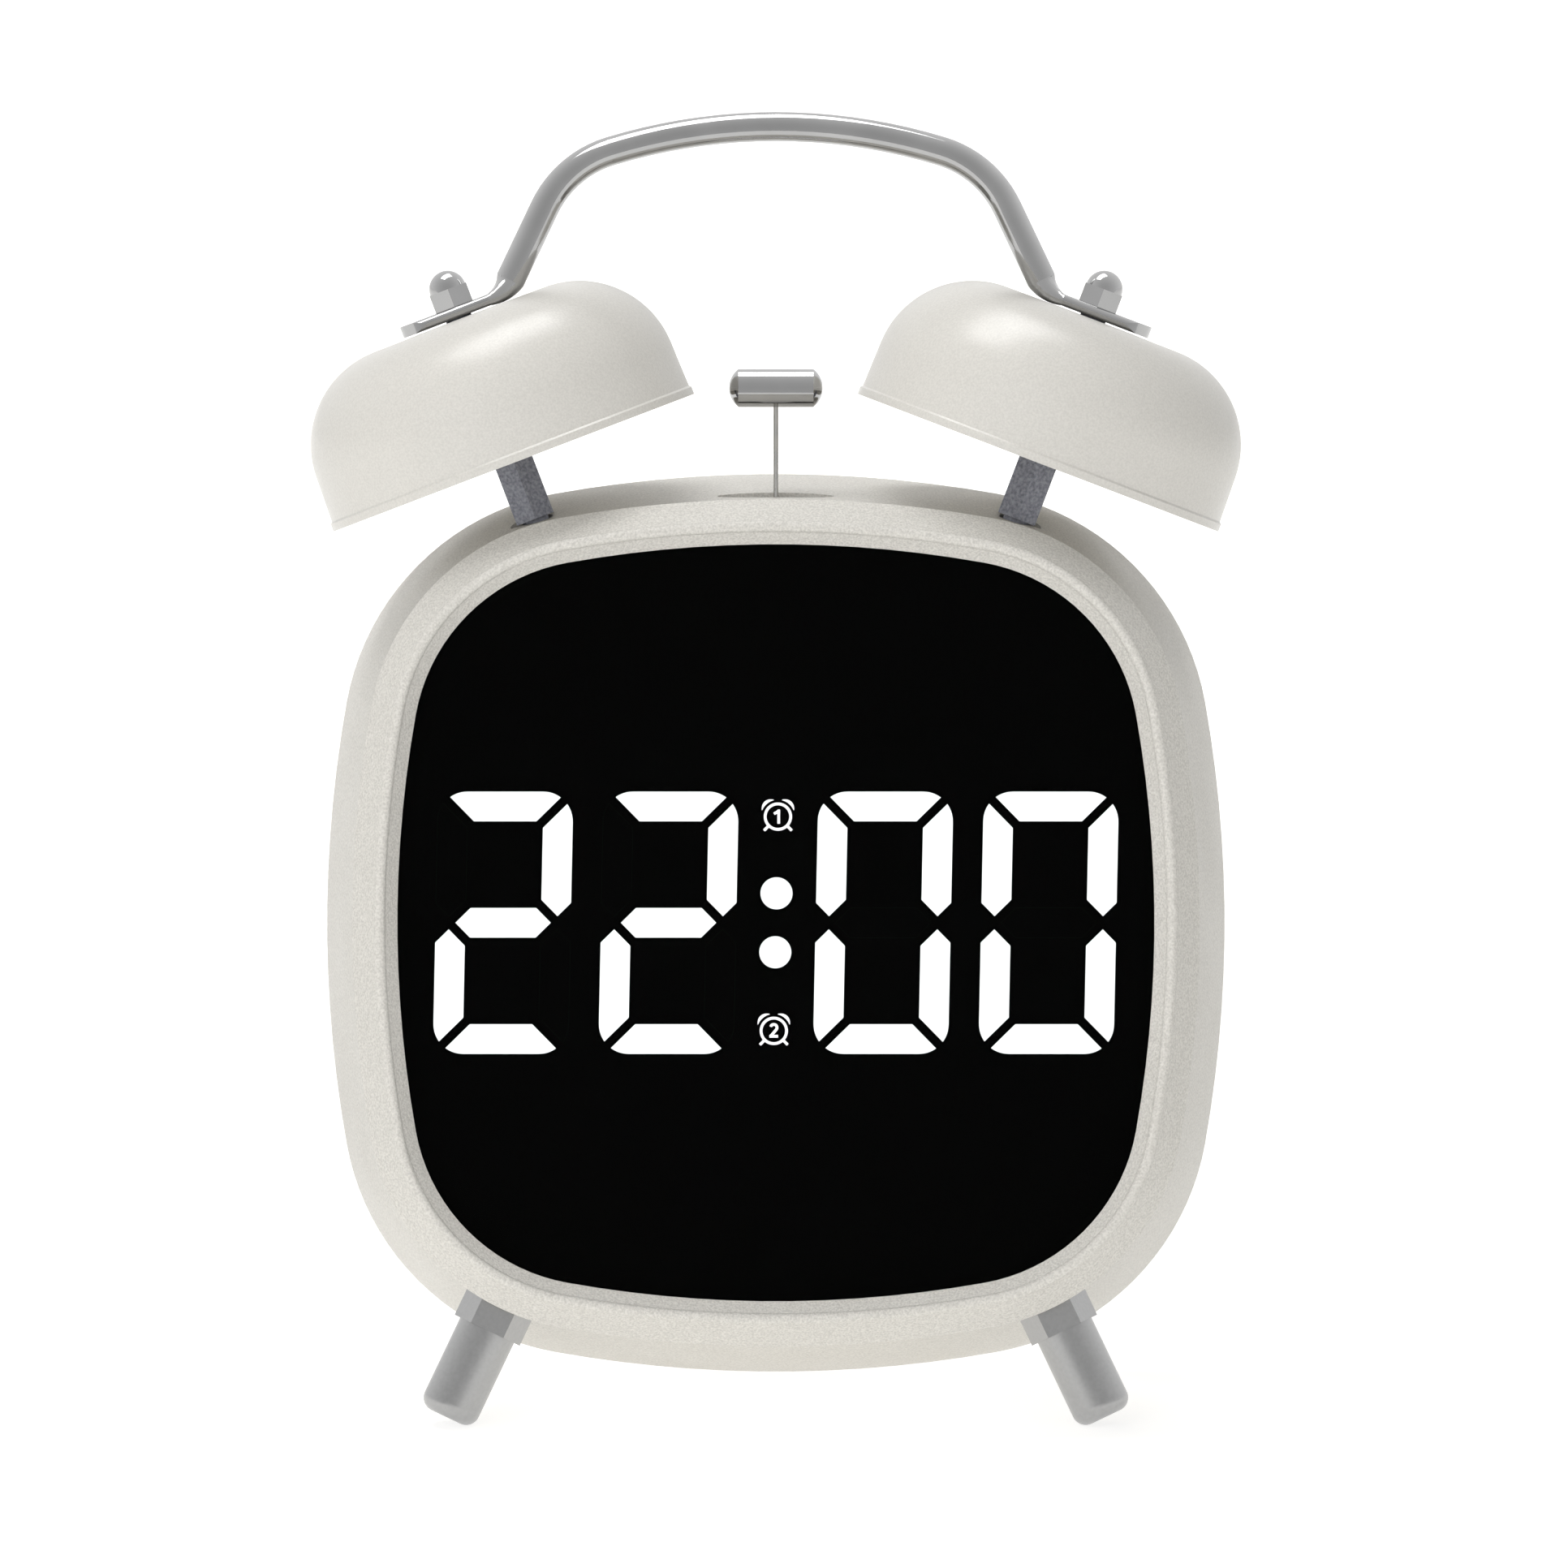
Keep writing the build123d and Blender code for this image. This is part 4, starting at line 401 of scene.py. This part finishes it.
def alarm_mark(number):
    """Strokes of a small alarm clock: a ring, two crescent bells, two legs at 45 degrees and its number.
    A crescent's inner edge keeps one gap to the ring, and its width swells as half a sine wave from one
    end to the other."""
    ring = MARK_RING / 2
    last = 360.0 - 360.0 / MARK_RING_POINTS
    parts = [ribbon(around(ring, 0.0, last, MARK_RING_POINTS), MARK_STROKE, closed=True)]
    wave = np.sin(np.linspace(0.0, math.pi, MARK_BELL_POINTS))
    swell = MARK_BELL_WIDTH * (MARK_BELL_TIP + (1.0 - MARK_BELL_TIP) * wave)
    inner = ring + MARK_STROKE / 2 + MARK_BELL_GAP
    bell = around(inner + swell / 2, MARK_BELL_START, MARK_BELL_END, MARK_BELL_POINTS)
    foot = ring * math.sqrt(0.5)
    leg = np.array(((foot, -foot), (MARK_LEG_END, -MARK_LEG_END)))
    for side in (1, -1):
        parts.append(ribbon(bell * (side, 1), swell))
        parts.append(ribbon(leg * (side, 1), MARK_STROKE))
    parts += [ribbon(path, MARK_STROKE) for path in number]
    return parts


def number_one():
    """Upright stroke with a short flag to the left."""
    return [ONE_STEM, ONE_FLAG]


def number_two():
    """Bow over the top, a slant to the lower left and a flat foot."""
    bow = around(TWO_BOW_RADIUS, TWO_BOW_START, TWO_BOW_END, TWO_BOW_POINTS, TWO_BOW_MIDDLE)
    return [np.vstack((bow, TWO_SLANT_END)), TWO_FOOT]


def ray_kinds(tree):
    """One for rays straight from the camera, and one for rays that metal or glass sends on."""
    rays = add(tree, "ShaderNodeLightPath").outputs
    either = {0: rays["Is Glossy Ray"], 1: rays["Is Transmission Ray"]}
    sent_on = add(tree, "ShaderNodeMath", either, operation="MAXIMUM")
    return rays["Is Camera Ray"], sent_on.outputs["Value"]


def stage_floor(level):
    """Pale light table: paper with a glow of its own, so that the shadow on it stays soft. The glow is a
    little stronger in view and in mirrored metal, which takes it into the white ground."""
    far = TABLE_REACH
    near = -TABLE_FRONT
    mesh = bpy.data.meshes.new("floor")
    corners = [(-far, near, level), (far, near, level), (far, far, level), (-far, far, level)]
    mesh.from_pydata(corners, [], [(0, 1, 2, 3)])
    floor = bpy.data.objects.new("floor", mesh)
    bpy.context.scene.collection.objects.link(floor)
    material = bpy.data.materials.new("pale_paper")
    tree = empty_tree(material)
    straight, sent_on = ray_kinds(tree)
    seen = add(tree, "ShaderNodeMath", {0: straight, 1: sent_on}, operation="MAXIMUM").outputs["Value"]
    glow = add(tree, "ShaderNodeMapRange", {"Value": seen, "To Min": TABLE_GLOW, "To Max": TABLE_GLOW_SEEN})
    paper = add(tree, "ShaderNodeBsdfDiffuse", {"Color": linear(TABLE_PAPER)})
    light = add(tree, "ShaderNodeEmission", {"Color": linear(WHITE), "Strength": glow.outputs["Result"]})
    both = add(tree, "ShaderNodeAddShader", {0: paper.outputs["BSDF"], 1: light.outputs["Emission"]})
    add(tree, "ShaderNodeOutputMaterial", {"Surface": both.outputs["Shader"]})
    mesh.materials.append(material)


def studio_world():
    """Room of soft light, as one plain slope of brightness. Straight in view it is the white ground, and
    metal and glass show that ground behind the clock, dimming to grey on the camera's side."""
    world = bpy.data.worlds.new("studio")
    bpy.context.scene.world = world
    tree = empty_tree(world)
    way = add(tree, "ShaderNodeTexCoord").outputs["Generated"]
    slope = -BACK * ROOM_BACK_SLOPE - UP * ROOM_TOP_SLOPE
    rise = add(tree, "ShaderNodeVectorMath", {0: way, 1: slope}, operation="DOT_PRODUCT").outputs["Value"]
    room = add(tree, "ShaderNodeMath", {0: rise, 1: ROOM_LEVEL}, operation="ADD").outputs["Value"]
    lean = add(tree, "ShaderNodeVectorMath", {0: way, 1: BACK}, operation="DOT_PRODUCT").outputs["Value"]
    dimming = {"From Min": -1.0, "From Max": GROUND_EDGE, "To Min": GROUND_AHEAD, "To Max": 1.0}
    ground = add(tree, "ShaderNodeMapRange", {"Value": lean, **dimming}).outputs["Result"]
    straight, sent_on = ray_kinds(tree)
    level = add(tree, "ShaderNodeMapRange", {"Value": sent_on, "To Min": room, "To Max": ground})
    shown = add(tree, "ShaderNodeMath", {0: level.outputs["Result"], 1: straight}, operation="MAXIMUM")
    light = add(tree, "ShaderNodeBackground", {"Color": linear(WHITE), "Strength": shown.outputs["Value"]})
    add(tree, "ShaderNodeOutputWorld", {"Surface": light.outputs["Background"]})


def soft_lamp(name, right, back, up, width, length, watts, in_gloss):
    """Soft box at a place given along the clock's axes in metres, aimed at the middle of the clock. It
    lights all surfaces, and shines in glossy ones only where in_gloss is true."""
    light = bpy.data.lights.new(name, "AREA")
    light.shape = "RECTANGLE"
    light.size = width
    light.size_y = length
    light.energy = watts
    lamp = bpy.data.objects.new(name, light)
    lamp.location = FACE + RIGHT * right + BACK * back + UP * up
    lamp.rotation_euler = (FACE - lamp.location).to_track_quat("-Z", "Y").to_euler()
    lamp.visible_camera = False
    lamp.visible_glossy = in_gloss
    bpy.context.scene.collection.objects.link(lamp)


def face_camera():
    """Camera square to the face, with no perspective, as the photograph has it."""
    data = bpy.data.cameras.new("camera")
    data.type = "ORTHO"
    data.ortho_scale = PICTURE_SPAN * MM
    camera = bpy.data.objects.new("camera", data)
    aim = FACE + (RIGHT * PICTURE_RIGHT + UP * PICTURE_UP) * MM
    turn = Matrix((RIGHT, UP, -BACK)).transposed()
    camera.matrix_world = Matrix.Translation(aim - BACK * CAMERA_DISTANCE * MM) @ turn.to_4x4()
    bpy.context.scene.collection.objects.link(camera)
    bpy.context.scene.camera = camera


# Finishes of the CAD nodes
zinc = bright_zinc()
lit = lit_diffuser()
dress(moulded_abs(), "front_case", "rear_case", "bezel_ring", "battery_door")
dress(stoved_enamel(), "left_bell", "right_bell")
dress(polished_chrome(), "handle", "acorn_nuts", "hammer_head")
dress(satin_nickel(), "left_foot", "right_foot")
dress(blasted_gunmetal(), "left_post", "right_post", "spacer_washers")
dress(zinc, "bell_studs", "post_nuts", "foot_nuts", "hammer_rod", "hammer_lever", "pivot_pin", "pivot_clip")
dress(zinc, "striker_frame", "yoke_rivets", "frame_screws", "case_screws", "control_screws")
dress(zinc, "display_screws", "battery_contacts", "inlet_socket")
dress(soft_iron(), "striker_yoke", "hammer_magnet")
dress(smoked_acrylic(), "screen_lens")
dress(black_abs(), "display_shield", "tact_switches")
dress(lit, "lit_segments")
dress(unlit_diffuser(), "unlit_segments")
dress(solder_mask(), "display_board", "control_board")
dress(button_rubber(), "mode_button", "up_button", "down_button", "alarm_button")
dress(enamelled_copper(), "coil_winding")
dress(natural_nylon(), "coil_bobbin", "ribbon_cable")
dress(cell_sleeve(), "battery_cells")

# Lit marks just behind the lens
mark_depth = back_of("screen_lens") + MARK_LENS_GAP + MARK_THICKNESS / 2
marks = (("alarm_mark_one", number_one(), MARK_ABOVE), ("alarm_mark_two", number_two(), MARK_BELOW))
for mark, number, up in marks:
    across = up * math.tan(math.radians(MARK_SLANT))
    piece(mark, alarm_mark(number), lit, "clock", (across, mark_depth, up))

# Stage, light and camera
bpy.context.scene.view_settings.view_transform = "Standard"
stage_floor(cad_box[0][2])
studio_world()
soft_lamp("front_fill", right=-0.50, back=-1.00, up=0.10, width=1.0, length=1.0, watts=3.9, in_gloss=False)
soft_lamp("back_fill", right=-0.10, back=1.05, up=0.40, width=0.5, length=1.0, watts=6.5, in_gloss=False)
soft_lamp("overhead_box", right=-0.15, back=0.0, up=1.0, width=0.8, length=0.45, watts=4.9, in_gloss=True)
face_camera()
